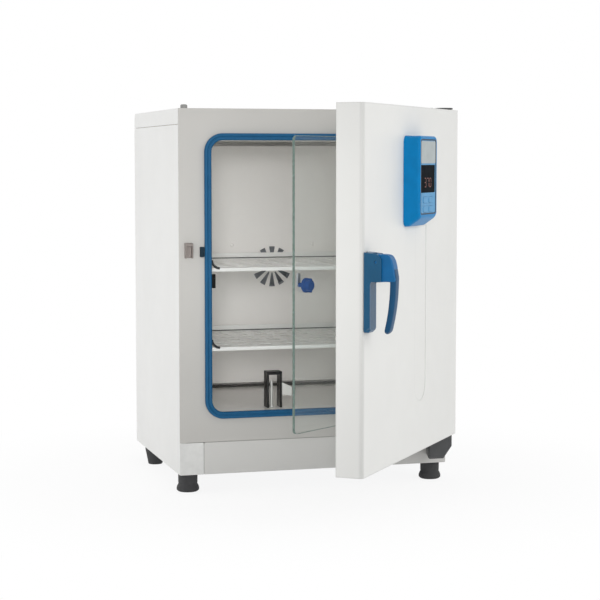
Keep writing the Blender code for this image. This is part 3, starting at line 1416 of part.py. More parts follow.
def build_knob(latch):
    """Turning knob of the glass door and the tongue behind the glass."""
    front = GLASS_FRONT - GAP
    spindle_end = KEEPER_FACE
    tip = front - KNOB_HEIGHT
    profile = [(spindle_end, KNOB_SPINDLE), (front, KNOB_SPINDLE), (front, KNOB_RADIUS)]
    for height_share, radius_share in KNOB_STEPS:
        profile.append((front - height_share * KNOB_HEIGHT, radius_share * KNOB_RADIUS))
    knob = add_piece("glass_knob", turned_y(KNOB_X, KNOB_Z, profile), latch, "handle_blue")
    half = KNOB_SPINDLE / 2
    wing = (KNOB_X - half, KNOB_X + half, KNOB_Z - KNOB_RADIUS, KNOB_Z + KNOB_RADIUS, half / 2)
    join(knob, along_y(rectangle(wing), tip + GAP, front - KNOB_SPINDLE / 2))
    y0 = spindle_end + GAP
    half = TONGUE_WIDTH / 2
    outline = (arc(KNOB_X, KNOB_Z, half, 180, 360, 2 * CORNER_STEPS)
               + arc(KNOB_X, KNOB_Z + TONGUE_LENGTH - half, half, 0, 180, 2 * CORNER_STEPS))
    add_piece("latch_tongue", along_y(outline, y0, y0 + TONGUE_SHEET), latch, "zinc_steel")


def build_keeper(cabinet):
    """Keeper on the chamber's left wall, whose lip the tongue turns behind."""
    wall = CHAMBER_LEFT + GAP
    base = wall + TONGUE_SHEET
    tip = CHAMBER_LEFT + KEEPER_REACH
    lip = CHAMBER_LEFT + GASKET_LIP + GAP
    front = KEEPER_FACE - KEEPER_LIP
    plan = [(wall, 2 * GAP), (wall, 2 * TONGUE_WIDTH), (base, 2 * TONGUE_WIDTH), (base, KEEPER_FACE),
            (tip, KEEPER_FACE), (tip, front), (lip, front), (lip, 2 * GAP)]
    top = KNOB_Z + KEEPER_RISE
    add_piece("glass_keeper", along_z(plan, top - KEEPER_HEIGHT, top), cabinet, "rubber_black")


def build_cabinet():
    """The standing part of the incubator."""
    datum_x = LEFT + FOOT_INSET
    cabinet = add_frame("cabinet_datum", (0.0, 0.0, 0.0))
    cabinet.location = (-datum_x, -FOOT_FRONT, 0.0)
    for build in (build_top_cover, build_side_panels, build_rear_panel, build_base_plate, build_feet,
                  build_front_frame, build_fascia, build_gasket, build_liner, build_baffle, build_fan,
                  build_heater, build_supports, build_runners, build_shelves, build_probe,
                  build_jacket, build_supply, build_hinge_brackets, build_cap, build_striker,
                  build_contact, build_keeper):
        build(cabinet)
    return cabinet


def build_doors(cabinet):
    """Both doors and what they carry, turned to where they stand ajar."""
    door = add_frame("outer_door_axis", (*DOOR_AXIS, DOOR_BOTTOM), cabinet, DOOR_OPEN_DEG)
    build_door_panels(door)
    build_handle_base(door)
    lever = add_frame("lever_axis", (HANDLE_X, LEVER_PIVOT_Y, LEVER_PIVOT_Z), door)
    build_lever(lever)
    build_control(door)
    glass_door = add_frame("glass_door_axis", (*GLASS_AXIS, CHAMBER_FLOOR), cabinet, GLASS_OPEN_DEG)
    build_glass(glass_door)
    build_glass_hinges(cabinet, glass_door)
    latch = add_frame("glass_latch_axis", (KNOB_X, GLASS_FRONT, KNOB_Z), glass_door)
    build_knob(latch)


def main():
    """Builds the whole incubator."""
    clear_scene()
    cabinet = build_cabinet()
    build_doors(cabinet)


main()
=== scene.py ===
"""Looks of a bench incubator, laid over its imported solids.

The script is laid out as an add-on: sizes and colours are properties, each group of pieces has an
operator, and a panel lists them. Lengths are metres. Pieces of a door are drawn with the doors shut, in
the cabinet's own axes, and one matrix then carries them to where the door stands at rest.
"""

import json
import math

import bmesh
import bpy
from bpy.props import FloatProperty, FloatVectorProperty, IntProperty, PointerProperty
from mathutils import Matrix, Vector


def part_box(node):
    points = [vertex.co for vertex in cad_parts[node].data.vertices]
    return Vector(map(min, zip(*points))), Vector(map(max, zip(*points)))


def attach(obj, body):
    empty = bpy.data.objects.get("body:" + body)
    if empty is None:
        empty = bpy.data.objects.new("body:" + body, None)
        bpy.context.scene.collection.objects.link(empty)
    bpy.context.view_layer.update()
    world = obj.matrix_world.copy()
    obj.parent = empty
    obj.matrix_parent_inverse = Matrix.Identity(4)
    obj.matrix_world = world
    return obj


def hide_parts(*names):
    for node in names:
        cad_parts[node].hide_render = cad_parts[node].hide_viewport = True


bl_info = {
    "name": "Bench incubator looks",
    "version": (1, 0, 0),
    "blender": (4, 5, 0),
    "location": "3D View > Sidebar > Incubator",
    "description": "Finishes, fastenings and stage for a microbiological incubator",
    "category": "Object",
}

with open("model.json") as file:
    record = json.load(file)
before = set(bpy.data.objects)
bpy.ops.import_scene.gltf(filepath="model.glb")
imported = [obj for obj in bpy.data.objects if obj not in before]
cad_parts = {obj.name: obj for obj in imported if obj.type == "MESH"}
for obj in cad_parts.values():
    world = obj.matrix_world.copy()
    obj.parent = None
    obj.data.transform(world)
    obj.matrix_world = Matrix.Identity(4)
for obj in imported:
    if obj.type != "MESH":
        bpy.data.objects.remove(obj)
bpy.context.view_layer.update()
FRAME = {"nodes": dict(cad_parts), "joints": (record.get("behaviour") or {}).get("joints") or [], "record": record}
SOLIDS = FRAME["nodes"]
RECORD = FRAME["record"]
JOINTS = {joint["name"]: joint for joint in FRAME["joints"]}
CARRIER = {node: body for body, nodes in RECORD["behaviour"]["bodies"].items() for node in nodes}
SLOT_OF = {part["node"]: part["material_slot"] for part in RECORD["subparts"]}

# The cabinet's own axes: X = 0 midway between its sides, Y = 0 on the front frame, Z = 0 on the floor
DATUM = Vector((0.2435, -0.030, 0.0))
DEPTH = 0.430
HEIGHT = 0.720
DOOR_FACE = -0.0515
GLASS_FACE = -0.0136
BAFFLE_FACE = 0.345
SUPPORT_FACE = 0.2026
HANDLE_X = -0.2475
HOUSING = (-0.062, 0.038, 0.508, 0.667)
HOUSING_FACE = -0.0815
HOUSING_RISE = 0.015
DISPLAY_LOW = 0.5675
FACE_BACK = 0.0008
KNOB_PLACE = (-0.1785, 0.407)
AT_REST = Matrix.Identity(4)

# Roundings of thin sheet and small mouldings
FINE_EDGE = 0.0003
THIN_EDGE = 0.0004

# A screw's head as shares of its rise and radius, where a negative radius is the hexagon socket's
SCREW_SUNK = 0.0002
SCREW_DOME = ((0.35, 1.0), (0.75, 0.88), (1.0, 0.62), (1.0, -0.46), (0.25, -0.44))
SMALL_SCREW = 0.7

# Finishes: gloss of mouldings, a noise's middle range, polishing lines and the axes they follow
PLAIN_GLOSS = 0.25
DULL_GLOSS = 0.12
NOISE_RANGE = (0.3, 0.7)
LINE_STRETCH = 120.0
ACROSS = 0
UPRIGHT = 2
FINISH_MARK = "_finish"

# Stage: where the lamps and the camera stand, and what they face
CABINET_MIDDLE = (0.2, 0.0, 0.36)
CHAMBER_MIDDLE = (0.07, 0.20, 0.39)
FLOOR_CENTRE = (0.25, 0.10, -0.0005)
LAMP_PLACES = {"front_lamp": (-0.9, -3.2, 1.4), "left_lamp": (-2.7, 1.6, 1.4),
               "right_lamp": (2.4, -2.5, 1.8), "chamber_lamp": (-0.75, -2.95, 0.85)}
LAMP_SIZE = 2.0
WHITE = (1.0, 1.0, 1.0, 1.0)
CAMERA_PLACE = (-0.69837, -3.17119, 0.62334)
CAMERA_AIM = Vector((0.27758, 0.95734, -0.08026))
SENSOR_WIDTH = 36.0


def srgb(red, green, blue):
    """A screen colour, 0 to 255, as the linear colour that a shader takes."""
    linear = []
    for value in (red, green, blue):
        share = value / 255
        linear.append(share / 12.92 if share <= 0.04045 else ((share + 0.055) / 1.055) ** 2.4)
    return tuple(linear)


def colour_setting(label, about, colour):
    """A colour that a user may change."""
    return FloatVectorProperty(name=label, description=about, subtype="COLOR", size=3, min=0.0,
                               max=1.0, default=srgb(*colour))


def length_setting(label, about, value):
    """A length that a user may change."""
    return FloatProperty(name=label, description=about, default=value, min=0.0, precision=4,
                         subtype="DISTANCE", unit="LENGTH")


def share_setting(label, about, value):
    """A share from nought to one that a user may change."""
    return FloatProperty(name=label, description=about, default=value, min=0.0, max=1.0,
                         subtype="FACTOR")


def power_setting(label, about, value):
    """A lamp's power that a user may change."""
    return FloatProperty(name=label, description=about, default=value, min=0.0, unit="POWER")


class CoatSettings(bpy.types.PropertyGroup):
    """Powder coat of the casing and the doors."""

    casing: colour_setting("Casing", "Coat of the lid, sides and rear", (233, 233, 231))
    door: colour_setting("Outer door", "Coat of the outer door", (232, 232, 229))
    frame: colour_setting("Front frame", "Coat of the front frame", (194, 192, 188))
    # The fascia's coat is lighter than the frame's: painted light against the shade that the fascia sits in.
    fascia: colour_setting("Fascia", "Coat of the fascia below the doors", (212, 211, 208))
    corner: colour_setting("Fascia corner", "Colour of the fascia's left end", (228, 228, 226))
    grain: length_setting("Grain", "Width of the coat's orange peel", 0.0016)
    relief: length_setting("Relief", "Depth of the coat's orange peel", 0.00002)
    roughness: share_setting("Roughness", "Roughness of the coat", 0.42)
    edge: length_setting("Edge", "Rounding of the folded sheet's edges", 0.00058)


class SteelSettings(bpy.types.PropertyGroup):
    """Stainless and zinc plated steel."""

    chamber: colour_setting("Chamber", "Stainless steel of the chamber", (252, 249, 246))
    shelf: colour_setting("Shelves", "Stainless steel of the shelves", (245, 245, 243))
    zinc: colour_setting("Zinc", "Zinc plated fittings", (160, 163, 168))
    roughness: share_setting("Roughness", "Roughness of the stainless steel", 0.30)
    grain: length_setting("Grain", "Width of the polishing lines", 0.0005)


class MouldingSettings(bpy.types.PropertyGroup):
    """Plastics, silicone and rubber."""

    control: colour_setting("Control", "Housing of the control", (0, 125, 187))
    handle: colour_setting("Handle", "Head of the door handle", (4, 97, 152))
    # The grip's and the base's blues are darker copies of the head's blue: painted shade.
    grip: colour_setting("Grip", "Grip of the door handle", (6, 70, 108))
    base: colour_setting("Handle base", "Base of the door handle", (3, 79, 116))
    keypad: colour_setting("Keypad", "Keypad of the control", (96, 158, 202))
    plate: colour_setting("Plate", "Blank plate above the display", (176, 184, 185))
    display: colour_setting("Display", "Display window", (33, 36, 39))
    digits: colour_setting("Digits", "Lit digits of the display", (112, 44, 28))
    gasket: colour_setting("Gasket", "Silicone gasket of the chamber", (22, 88, 130))
    seal: colour_setting("Seal", "Magnetic seal of the outer door", (96, 98, 100))
    bracket: colour_setting("Bracket", "Hinge brackets and clamps", (80, 81, 82))
    knob: colour_setting("Knob", "Knob of the glass door", (40, 74, 128))
    cap: colour_setting("Cap", "Cap of the unused hinge", (146, 146, 144))
    rubber: colour_setting("Rubber", "Feet and small rubber parts", (70, 70, 71))
    texture: length_setting("Texture", "Width of the moulded texture", 0.0006)


class GlassSettings(bpy.types.PropertyGroup):
    """Glass inner door."""

    tint: colour_setting("Tint", "Body tint of the pane", (251, 253, 252))
    rim: colour_setting("Rim", "Green of the pane's ground edge", (128, 152, 143))
    edge: length_setting("Edge", "Width of the ground edge", 0.0009)


class StageSettings(bpy.types.PropertyGroup):
    """Floor, lamps and camera."""

    floor: length_setting("Floor", "Radius of the floor", 12.0)
    fade_from: length_setting("Fade from", "Radius at which the floor starts to fade", 0.30)
    fade_to: length_setting("Fade to", "Radius at which the floor is plain white", 0.85)
    ambient: FloatProperty(name="Ambient", description="Strength of the light all round", default=0.66,
                           min=0.0)
    front: power_setting("Front lamp", "Power of the lamp beside the camera", 5.0)
    left: power_setting("Left lamp", "Power of the lamp at the left", 22.0)
    right: power_setting("Right lamp", "Power of the lamp at the right", 26.0)
    chamber: power_setting("Chamber lamp", "Power of the lamp that looks into the chamber", 155.0)
    lens: FloatProperty(name="Lens", description="Focal length", default=103.854, min=1.0,
                        unit="CAMERA")


class FasteningSettings(bpy.types.PropertyGroup):
    """Screws that hold sheets and fittings."""

    radius: length_setting("Head", "Radius of a screw's head", 0.0036)
    rise: length_setting("Rise", "Height of a screw's head", 0.0018)
    sides: IntProperty(name="Sides", description="Sides of a screw's head", default=24, min=12,
                       max=64)


SETTINGS = {"incubator_coat": CoatSettings, "incubator_steel": SteelSettings,
            "incubator_moulding": MouldingSettings, "incubator_glass": GlassSettings,
            "incubator_stage": StageSettings, "incubator_fastening": FasteningSettings}


# Places

def door_turn(joint):
    """Matrix that carries a shut door about its upright hinge to where it stands at rest."""
    place = Vector(JOINTS[joint]["pos_m"])
    turn = Matrix.Rotation(math.radians(-JOINTS[joint]["range_deg"][0]), 4, "Z")
    return Matrix.Translation(place) @ turn @ Matrix.Translation(-place)


CABINET_PLACE = Matrix.Translation(DATUM)
DOOR_PLACE = door_turn("outer_door_hinge") @ CABINET_PLACE
GLASS_PLACE = door_turn("glass_door_hinge") @ CABINET_PLACE


# Shader nodes

def feed(tree, value, socket):
    """Links a socket to an input, or sets the input's value."""
    if isinstance(value, bpy.types.NodeSocket):
        tree.links.new(value, socket)
    else:
        socket.default_value = value


def add_node(tree, kind, inputs, **settings):
    """A shader node with its inputs fed."""
    node = tree.nodes.new("ShaderNode" + kind)
    for name, value in settings.items():
        setattr(node, name, value)
    for name, value in inputs.items():
        feed(tree, value, node.inputs[name])
    return node


def remap(tree, value, low, high, first=0.0, last=1.0, **settings):
    """Carries one range of values over to another."""
    inputs = {"Value": value, "From Min": low, "From Max": high, "To Min": first, "To Max": last}
    return add_node(tree, "MapRange", inputs, **settings).outputs["Result"]


def either(tree, first, second):
    """The larger of two values."""
    return add_node(tree, "Math", {0: first, 1: second}, operation="MAXIMUM").outputs[0]


def show_mix(tree, factor, first, second, output):
    """Mixes two shaders and shows the result."""
    mix = add_node(tree, "MixShader", {0: factor, 1: first.outputs[0], 2: second.outputs[0]})
    tree.links.new(mix.outputs[0], output.inputs["Surface"])


def add_noise(tree, size, stretch=(1.0, 1.0, 1.0), detail=2.0):
    """Noise whose cells are that many metres wide, and longer along a stretched axis."""
    place = add_node(tree, "TexCoord", {}).outputs["Object"]
    scale = [1.0 / (size * factor) for factor in stretch]
    mapped = add_node(tree, "Mapping", {"Vector": place, "Scale": scale}).outputs["Vector"]
    return add_node(tree, "TexNoise", {"Vector": mapped, "Scale": 1.0, "Detail": detail}).outputs["Fac"]


def spread(tree, factor, low=0.0, high=1.0):
    """Stretches a noise's middle range between two values."""
    return remap(tree, factor, *NOISE_RANGE, low, high)


def between(tree, factor, first, second):
    """Mixes two colours, or two colour sockets."""
    mix = tree.nodes.new("ShaderNodeMix")
    mix.data_type = "RGBA"
    feed(tree, factor, mix.inputs[0])
    for socket, value in ((mix.inputs[6], first), (mix.inputs[7], second)):
        feed(tree, value if isinstance(value, bpy.types.NodeSocket) else (*value, 1.0), socket)
    return mix.outputs[2]


def dimmed(colour, share):
    """A colour times a share, held to one."""
    return tuple(min(1.0, channel * share) for channel in colour)


def varied(tree, factor, colour, low, high):
    """A colour that wanders between two shares of itself."""
    return between(tree, factor, dimmed(colour, low), dimmed(colour, high))


def start_finish(name, metallic=0.0):
    """The tree and the shader of a new node material."""
    finish = bpy.data.materials.new(name + FINISH_MARK)
    finish.use_nodes = True
    shader = finish.node_tree.nodes["Principled BSDF"]
    shader.inputs["Metallic"].default_value = metallic
    return finish.node_tree, shader


def paint(tree, shader, colour, roughness):
    """Feeds a shader's colour and roughness."""
    feed(tree, colour, shader.inputs["Base Color"])
    feed(tree, roughness, shader.inputs["Roughness"])


def add_relief(tree, shader, height, depth):
    """Surface relief of a depth in metres."""
    bump = add_node(tree, "Bump", {"Height": height, "Distance": depth, "Strength": 1.0})
    tree.links.new(bump.outputs["Normal"], shader.inputs["Normal"])


def edge_wear_and_shade(tree, radius):
    """One on edges and corners, nought on the flats."""
    # The mask marks rubbed edges of coats and mouldings, and the painted shade on the door's rounded edges.
    flat, full_edge = 0.995, 0.90
    rounded_normal = add_node(tree, "Bevel", {"Radius": radius}, samples=4).outputs["Normal"]
    plain = add_node(tree, "NewGeometry", {}).outputs["Normal"]
    match = add_node(tree, "VectorMath", {0: rounded_normal, 1: plain}, operation="DOT_PRODUCT")
    return remap(tree, match.outputs["Value"], flat, full_edge)


def near_line(tree, point, near, far):
    """One at an upright line through a point, nought farther off."""
    place = add_node(tree, "TexCoord", {}).outputs["Object"]
    level = add_node(tree, "VectorMath", {0: place, 1: (1.0, 1.0, 0.0)}, operation="MULTIPLY")
    inputs = {0: level.outputs["Vector"], 1: (point.x, point.y, 0.0)}
    gap = add_node(tree, "VectorMath", inputs, operation="DISTANCE")
    return remap(tree, gap.outputs["Value"], near, far, 1.0, 0.0)


def door_corner():
    """A point of the front corner of the outer door's free edge, at rest, where a line of painted shade runs."""
    shut = DOOR_PLACE.inverted()
    left = min((shut @ vert.co).x for vert in SOLIDS["door_outer_panel"].data.vertices)
    return DOOR_PLACE @ Vector((left, DOOR_FACE, 0.0))


def coat_finish(name, colour, coat, edge=0.0012, edge_shade=0.93, corner=None):
    """Powder coat: orange peel, faint mottling, darker edges (rubbed coat at a fine rounding, painted shade at the
    door's broad one) and maybe a line of painted shade at one corner.
    """
    tree, shader = start_finish(name)
    mottle = spread(tree, add_noise(tree, size=0.16, detail=4.0))
    ground = varied(tree, mottle, colour, 0.975, 1.01)
    # Darker edges: rubbed coat on the casing, painted shade on the door's broad rounded edges.
    shade = between(tree, edge_wear_and_shade(tree, edge), ground, dimmed(colour, edge_shade))
    if corner:
        # A darker upright line at a corner is painted shade.
        corner_shade = near_line(tree, corner, near=0.0020, far=0.0080)
        shade = between(tree, corner_shade, shade, dimmed(colour, 0.74))
    swing = 0.05
    sheen = spread(tree, add_noise(tree, size=0.03), coat.roughness - swing, coat.roughness + swing)
    paint(tree, shader, shade, sheen)
    add_relief(tree, shader, add_noise(tree, coat.grain, detail=1.0), coat.relief)


def steel_finish(name, colour, steel, along, extra=0.0, metallic=1.0):
    """Polished sheet steel with fine lines along an axis and cloudy patches between them."""
    tree, shader = start_finish(name, metallic)
    stretch = [LINE_STRETCH if axis == along else 1.0 for axis in range(3)]
    lines = add_noise(tree, steel.grain, stretch)
    clouds = spread(tree, add_noise(tree, size=0.07), high=0.6)
    ground = varied(tree, spread(tree, lines), colour, 0.985, 1.01)
    shade = between(tree, clouds, ground, dimmed(colour, 0.98))
    rough = steel.roughness + extra
    paint(tree, shader, shade, spread(tree, lines, rough - 0.02, rough + 0.03))
    add_relief(tree, shader, lines, depth=0.000001)


def moulded_finish(name, colour, texture, roughness, gloss=PLAIN_GLOSS, depth=0.00002):
    """Moulded plastic, silicone or rubber with a fine spark texture and rubbed edges."""
    tree, shader = start_finish(name)
    shader.inputs["Specular IOR Level"].default_value = gloss
    ground = varied(tree, spread(tree, add_noise(tree, size=0.02, detail=3.0)), colour, 0.93, 1.05)
    lift = 0.06
    lifted = [channel + lift * (1.0 - channel) for channel in colour]
    spark = add_noise(tree, texture)
    paint(tree, shader, between(tree, edge_wear_and_shade(tree, radius=0.0008), ground, lifted),
          spread(tree, spark, roughness - 0.05, roughness + 0.07))
    add_relief(tree, shader, spark, depth)


def window_finish(name, colour):
    """Glossy dark display window with faint wipe marks."""
    tree, shader = start_finish(name)
    shade = varied(tree, spread(tree, add_noise(tree, size=0.012)), colour, 1.0, 1.4)
    wipes = add_noise(tree, 0.004, stretch=(1.0, 1.0, 6.0), detail=3.0)
    paint(tree, shader, shade, spread(tree, wipes, 0.16, 0.30))
    shader.inputs["Specular IOR Level"].default_value = 0.0


def lit_finish(name, colour):
    """Softly lit digits."""
    tree, shader = start_finish(name)
    shade = varied(tree, spread(tree, add_noise(tree, size=0.006)), colour, 0.8, 1.0)
    paint(tree, shader, shade, roughness=0.4)
    tree.links.new(shade, shader.inputs["Emission Color"])
    shader.inputs["Emission Strength"].default_value = 0.06


def pane_finish(name, tint):
    """Clear toughened glass that lets light through without a dark shadow."""
    tree, shader = start_finish(name)
    film = add_noise(tree, 0.05, stretch=(1.0, 1.0, 3.0), detail=4.0)
    paint(tree, shader, varied(tree, spread(tree, film), tint, 1.0, 0.985),
          spread(tree, film, high=0.03))
    shader.inputs["Transmission Weight"].default_value = 1.0
    shader.inputs["IOR"].default_value = 1.45
    path = add_node(tree, "LightPath", {}).outputs
    clear = add_node(tree, "BsdfTransparent", {"Color": (*tint, 1.0)})
    show_mix(tree, either(tree, path["Is Shadow Ray"], path["Is Diffuse Ray"]), shader, clear,
             tree.nodes["Material Output"])


def rim_finish(name, colour):
    """Ground edge of the glass, where its green shows."""
    tree, shader = start_finish(name)
    grind = add_noise(tree, 0.0006, stretch=(1.0, 1.0, 8.0), detail=3.0)
    paint(tree, shader, varied(tree, spread(tree, grind), colour, 0.85, 1.0),
          spread(tree, grind, 0.18, 0.34))
    shader.inputs["Transmission Weight"].default_value = 0.35
    add_relief(tree, shader, grind, depth=0.00002)


def wool_finish(name, colour, size):
    """Mineral wool or foam."""
    tree, shader = start_finish(name)
    fibres = add_noise(tree, size, stretch=(3.0, 1.0, 1.0), detail=5.0)
    paint(tree, shader, varied(tree, spread(tree, fibres), colour, 0.7, 1.0), roughness=0.95)
    add_relief(tree, shader, fibres, depth=0.0006)


def board_finish(name, colour):
    """Circuit board with tracks that show through its green lacquer."""
    tree, shader = start_finish(name)
    place = add_node(tree, "TexCoord", {}).outputs["Object"]
    per_metre = 260.0
    cells = add_node(tree, "TexVoronoi", {"Vector": place, "Scale": per_metre},
                     feature="DISTANCE_TO_EDGE", distance="MANHATTAN")
    track = remap(tree, cells.outputs["Distance"], low=0.06, high=0.10)
    paint(tree, shader, varied(tree, track, colour, 1.8, 1.0), roughness=0.35)
    add_relief(tree, shader, track, depth=0.00003)


def make_finishes(scene):
    """A finish for each slot of the record, and those that only the looks use."""
    coat, steel = scene.incubator_coat, scene.incubator_steel
    mould, glass = scene.incubator_moulding, scene.incubator_glass
    coat_finish("cabinet_white", coat.casing, coat)
    # The fascia's lighter coat is painted light against its shade.
    coat_finish("fascia_coat", coat.fascia, coat)
    coat_finish("frame_grey", coat.frame, coat)
    # The door's broad darker edges and its darker corner line are painted shade.
    coat_finish("door_white", coat.door, coat, edge=0.0040, edge_shade=0.84, corner=door_corner())
    steel_finish("polished_steel", steel.chamber, steel, UPRIGHT, metallic=0.3)
    steel_finish("shelf_steel", steel.shelf, steel, ACROSS, metallic=0.4)
    steel_finish("zinc_steel", steel.zinc, steel, ACROSS, extra=0.12)
    steel_finish("striker_steel", srgb(140, 132, 128), steel, UPRIGHT, extra=0.1, metallic=0.6)
    # A shaded and a lit copy of one steel: painted shade and painted light on the sensor guard.
    steel_finish("guard_shaded", srgb(22, 22, 23), steel, UPRIGHT, metallic=0.2)
    steel_finish("guard_lit", srgb(226, 226, 222), steel, UPRIGHT, metallic=0.3)
    moulded = (("corner_grey", coat.corner, 0.45, PLAIN_GLOSS),
               ("gasket_blue", mould.gasket, 0.50, PLAIN_GLOSS),
               ("seal_grey", mould.seal, 0.65, PLAIN_GLOSS),
               ("control_blue", mould.control, 0.34, DULL_GLOSS),
               ("handle_blue", mould.handle, 0.38, PLAIN_GLOSS),
               # The grip and the base take darker copies of the handle's blue: painted shade.
               ("grip_shaded_blue", mould.grip, 0.38, PLAIN_GLOSS),
               ("base_shaded_blue", mould.base, 0.30, 0.35),
               # A dark grey for strips of painted shadow in creases.
               ("crease_shadow", srgb(84, 84, 82), 0.60, 0.10),
               ("keeper_black", srgb(15, 15, 15), 0.50, DULL_GLOSS),
               ("contact_dark", srgb(30, 50, 62), 0.50, DULL_GLOSS),
               ("knob_blue", mould.knob, 0.38, PLAIN_GLOSS),
               ("keypad_blue", mould.keypad, 0.42, DULL_GLOSS),
               ("plate_grey", mould.plate, 0.40, DULL_GLOSS),
               ("bracket_grey", mould.bracket, 0.50, PLAIN_GLOSS),
               ("cap_grey", mould.cap, 0.50, PLAIN_GLOSS),
               ("motor_dark", srgb(46, 48, 51), 0.45, PLAIN_GLOSS))
    for name, colour, roughness, gloss in moulded:
        moulded_finish(name, colour, mould.texture, roughness, gloss)
    moulded_finish("rubber_black", mould.rubber, mould.texture, 0.70, depth=0.00006)
    window_finish("display_black", mould.display)
    lit_finish("display_digits", mould.digits)
    pane_finish("glass_clear", glass.tint)
    rim_finish("glass_rim", glass.rim)
    wool_finish("jacket_wool", srgb(196, 180, 128), size=0.0012)
    wool_finish("foam_cream", srgb(220, 208, 174), size=0.0020)
    board_finish("board_green", srgb(26, 84, 52))


# Meshes

def give_finish(piece, *names):
    """Replaces a piece's materials by finishes."""
    piece.data.materials.clear()
    for name in names:
        piece.data.materials.append(bpy.data.materials[name + FINISH_MARK])


def link_object(name, data):
    """A new object in the scene."""
    item = bpy.data.objects.new(name, data)
    bpy.context.scene.collection.objects.link(item)
    return item


def mesh_object(name, shape):
    """A new object from a bmesh, which is freed."""
    mesh = bpy.data.meshes.new(name)
    shape.to_mesh(mesh)
    shape.free()
    return link_object(name, mesh)


def add_piece(name, shape, place, finish, body, slot, bevel=0.0, segments=2, angle_deg=35.0):
    """A piece with rounded edges on a body. Its slot argument is not used."""
    bmesh.ops.recalc_face_normals(shape, faces=shape.faces)
    piece = mesh_object(name, shape)
    piece.matrix_world = place
    give_finish(piece, finish)
    round_edges(piece, bevel, segments, angle_deg)
    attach(piece, body)
    return piece


def stand_in(node, shape, place, finish, **rounding):
    """A finer piece that stands for a node, on the node's body."""
    piece = add_piece(node + "_finished", shape, place, finish, CARRIER[node], SLOT_OF[node], **rounding)
    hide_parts(node)
    return piece


def round_edges(piece, bevel, segments, angle_deg):
    """Bevels edges sharper than an angle and keeps the flats flat."""
    piece.data.shade_smooth()
    if bevel:
        rounding = piece.modifiers.new("Rounding", "BEVEL")
        rounding.width = bevel
        rounding.segments = segments
        rounding.limit_method = "ANGLE"
        rounding.angle_limit = math.radians(angle_deg)
    else:
        piece.data.set_sharp_from_angle(angle=math.radians(angle_deg))
    flats = piece.modifiers.new("Flats", "WEIGHTED_NORMAL")
    flats.keep_sharp = True


def solid_shape(node):
    """A solid's skin with its flat faces made whole."""
    shape = bmesh.new()
    shape.from_mesh(SOLIDS[node].data)
    bmesh.ops.remove_doubles(shape, verts=shape.verts, dist=0.00001)
    bmesh.ops.dissolve_limit(shape, angle_limit=math.radians(0.5), verts=shape.verts, edges=shape.edges)
    return shape


def soften(node, bevel, finish=None, **rounding):
    """A copy of a solid with rounded edges, which stands for it."""
    return stand_in(node, solid_shape(node), AT_REST, finish or SLOT_OF[node], bevel=bevel, **rounding)


def soften_all(nodes, bevel, **rounding):
    """Rounded copies of several solids."""
    for node in nodes:
        soften(node, bevel, **rounding)


def loft(loops, closed=False):
    """A skin through matching loops, capped at both ends unless it closes on itself."""
    shape = bmesh.new()
    rows = [[shape.verts.new(point) for point in loop] for loop in loops]
    following = rows[1:] + rows[:1] if closed else rows[1:]
    for low, high in zip(rows, following):
        for index in range(len(low)):
            shape.faces.new((low[index - 1], low[index], high[index], high[index - 1]))
    if not closed:
        shape.faces.new(rows[0])
        shape.faces.new(rows[-1])
    return shape


def turned(centre, axis, profile, sides=48, flats=0):
    """Circles about an axis through a point, one for each distance and radius of the profile.

    A radius given as a negative number makes a loop with that many flat sides instead of a circle.
    """
    along = Vector(axis).normalized()
    aside = along.orthogonal().normalized()
    across = along.cross(aside)
    loops = []
    for distance, radius in profile:
        loop = []
        for step in range(sides):
            angle = 2 * math.pi * step / sides
            reach = abs(radius)
            if radius < 0 and flats:
                half = math.pi / flats
                reach *= math.cos(half) / math.cos((angle % (2 * half)) - half)
            loop.append(Vector(centre) + along * distance
                        + (aside * math.cos(angle) + across * math.sin(angle)) * reach)
        loops.append(loop)
    return loft(loops)


def wire(points, radius, sides=12):
    """A round wire through points that lie in one plane of constant Y."""
    across = Vector((0.0, 1.0, 0.0))
    loops = []
    for index, point in enumerate(points):
        before, after = points[max(index - 1, 0)], points[min(index + 1, len(points) - 1)]
        aside = (after - before).normalized().cross(across)
        loop = []
        for step in range(sides):
            angle = 2 * math.pi * step / sides
            loop.append(point + (across * math.cos(angle) + aside * math.sin(angle)) * radius)
        loops.append(loop)
    return loft(loops)


def arc(x, y, radius, start_deg, end_deg, steps):
    """Points on an arc, both ends included."""
    points = []
    for step in range(steps + 1):
        angle = math.radians(start_deg + (end_deg - start_deg) * step / steps)
        points.append((x + radius * math.cos(angle), y + radius * math.sin(angle)))
    return points


def rounded(x0, x1, z0, z1, radius, steps=6):
    """Outline of a rounded rectangle."""
    return (arc(x1 - radius, z0 + radius, radius, -90, 0, steps)
            + arc(x1 - radius, z1 - radius, radius, 0, 90, steps)
            + arc(x0 + radius, z1 - radius, radius, 90, 180, steps)
            + arc(x0 + radius, z0 + radius, radius, 180, 270, steps))


def at_y(points, y):
    """Stands an outline given as X and Z on a plane of constant Y."""
    return [Vector((x, y, z)) for x, z in points]


def inset_loop(box, inward, y, radius, steps):
    """A rounded rectangle drawn inward from a box's outline, on a plane of constant Y."""
    x0, x1, z0, z1 = box
    return at_y(rounded(x0 + inward, x1 - inward, z0 + inward, z1 - inward, radius, steps), y)


def slab(outline, y0, y1):
    """A prism of an outline between two planes of constant Y."""
    return loft([at_y(outline, y0), at_y(outline, y1)])


def fair(points, steps):
    """A closed outline drawn through points as one smooth curve."""
    count = len(points)
    curve = []
    for index in range(count):
        before, start, end, after = (Vector(points[(index + shift) % count]) for shift in (-1, 0, 1, 2))
        for step in range(steps):
            t = step / steps
            point = (start * 2 + (end - before) * t + (before * 2 - start * 5 + end * 4 - after) * t ** 2
                     + (start * 3 - before - end * 3 + after) * t ** 3) / 2
            curve.append(tuple(point))
    return curve


# Fastenings

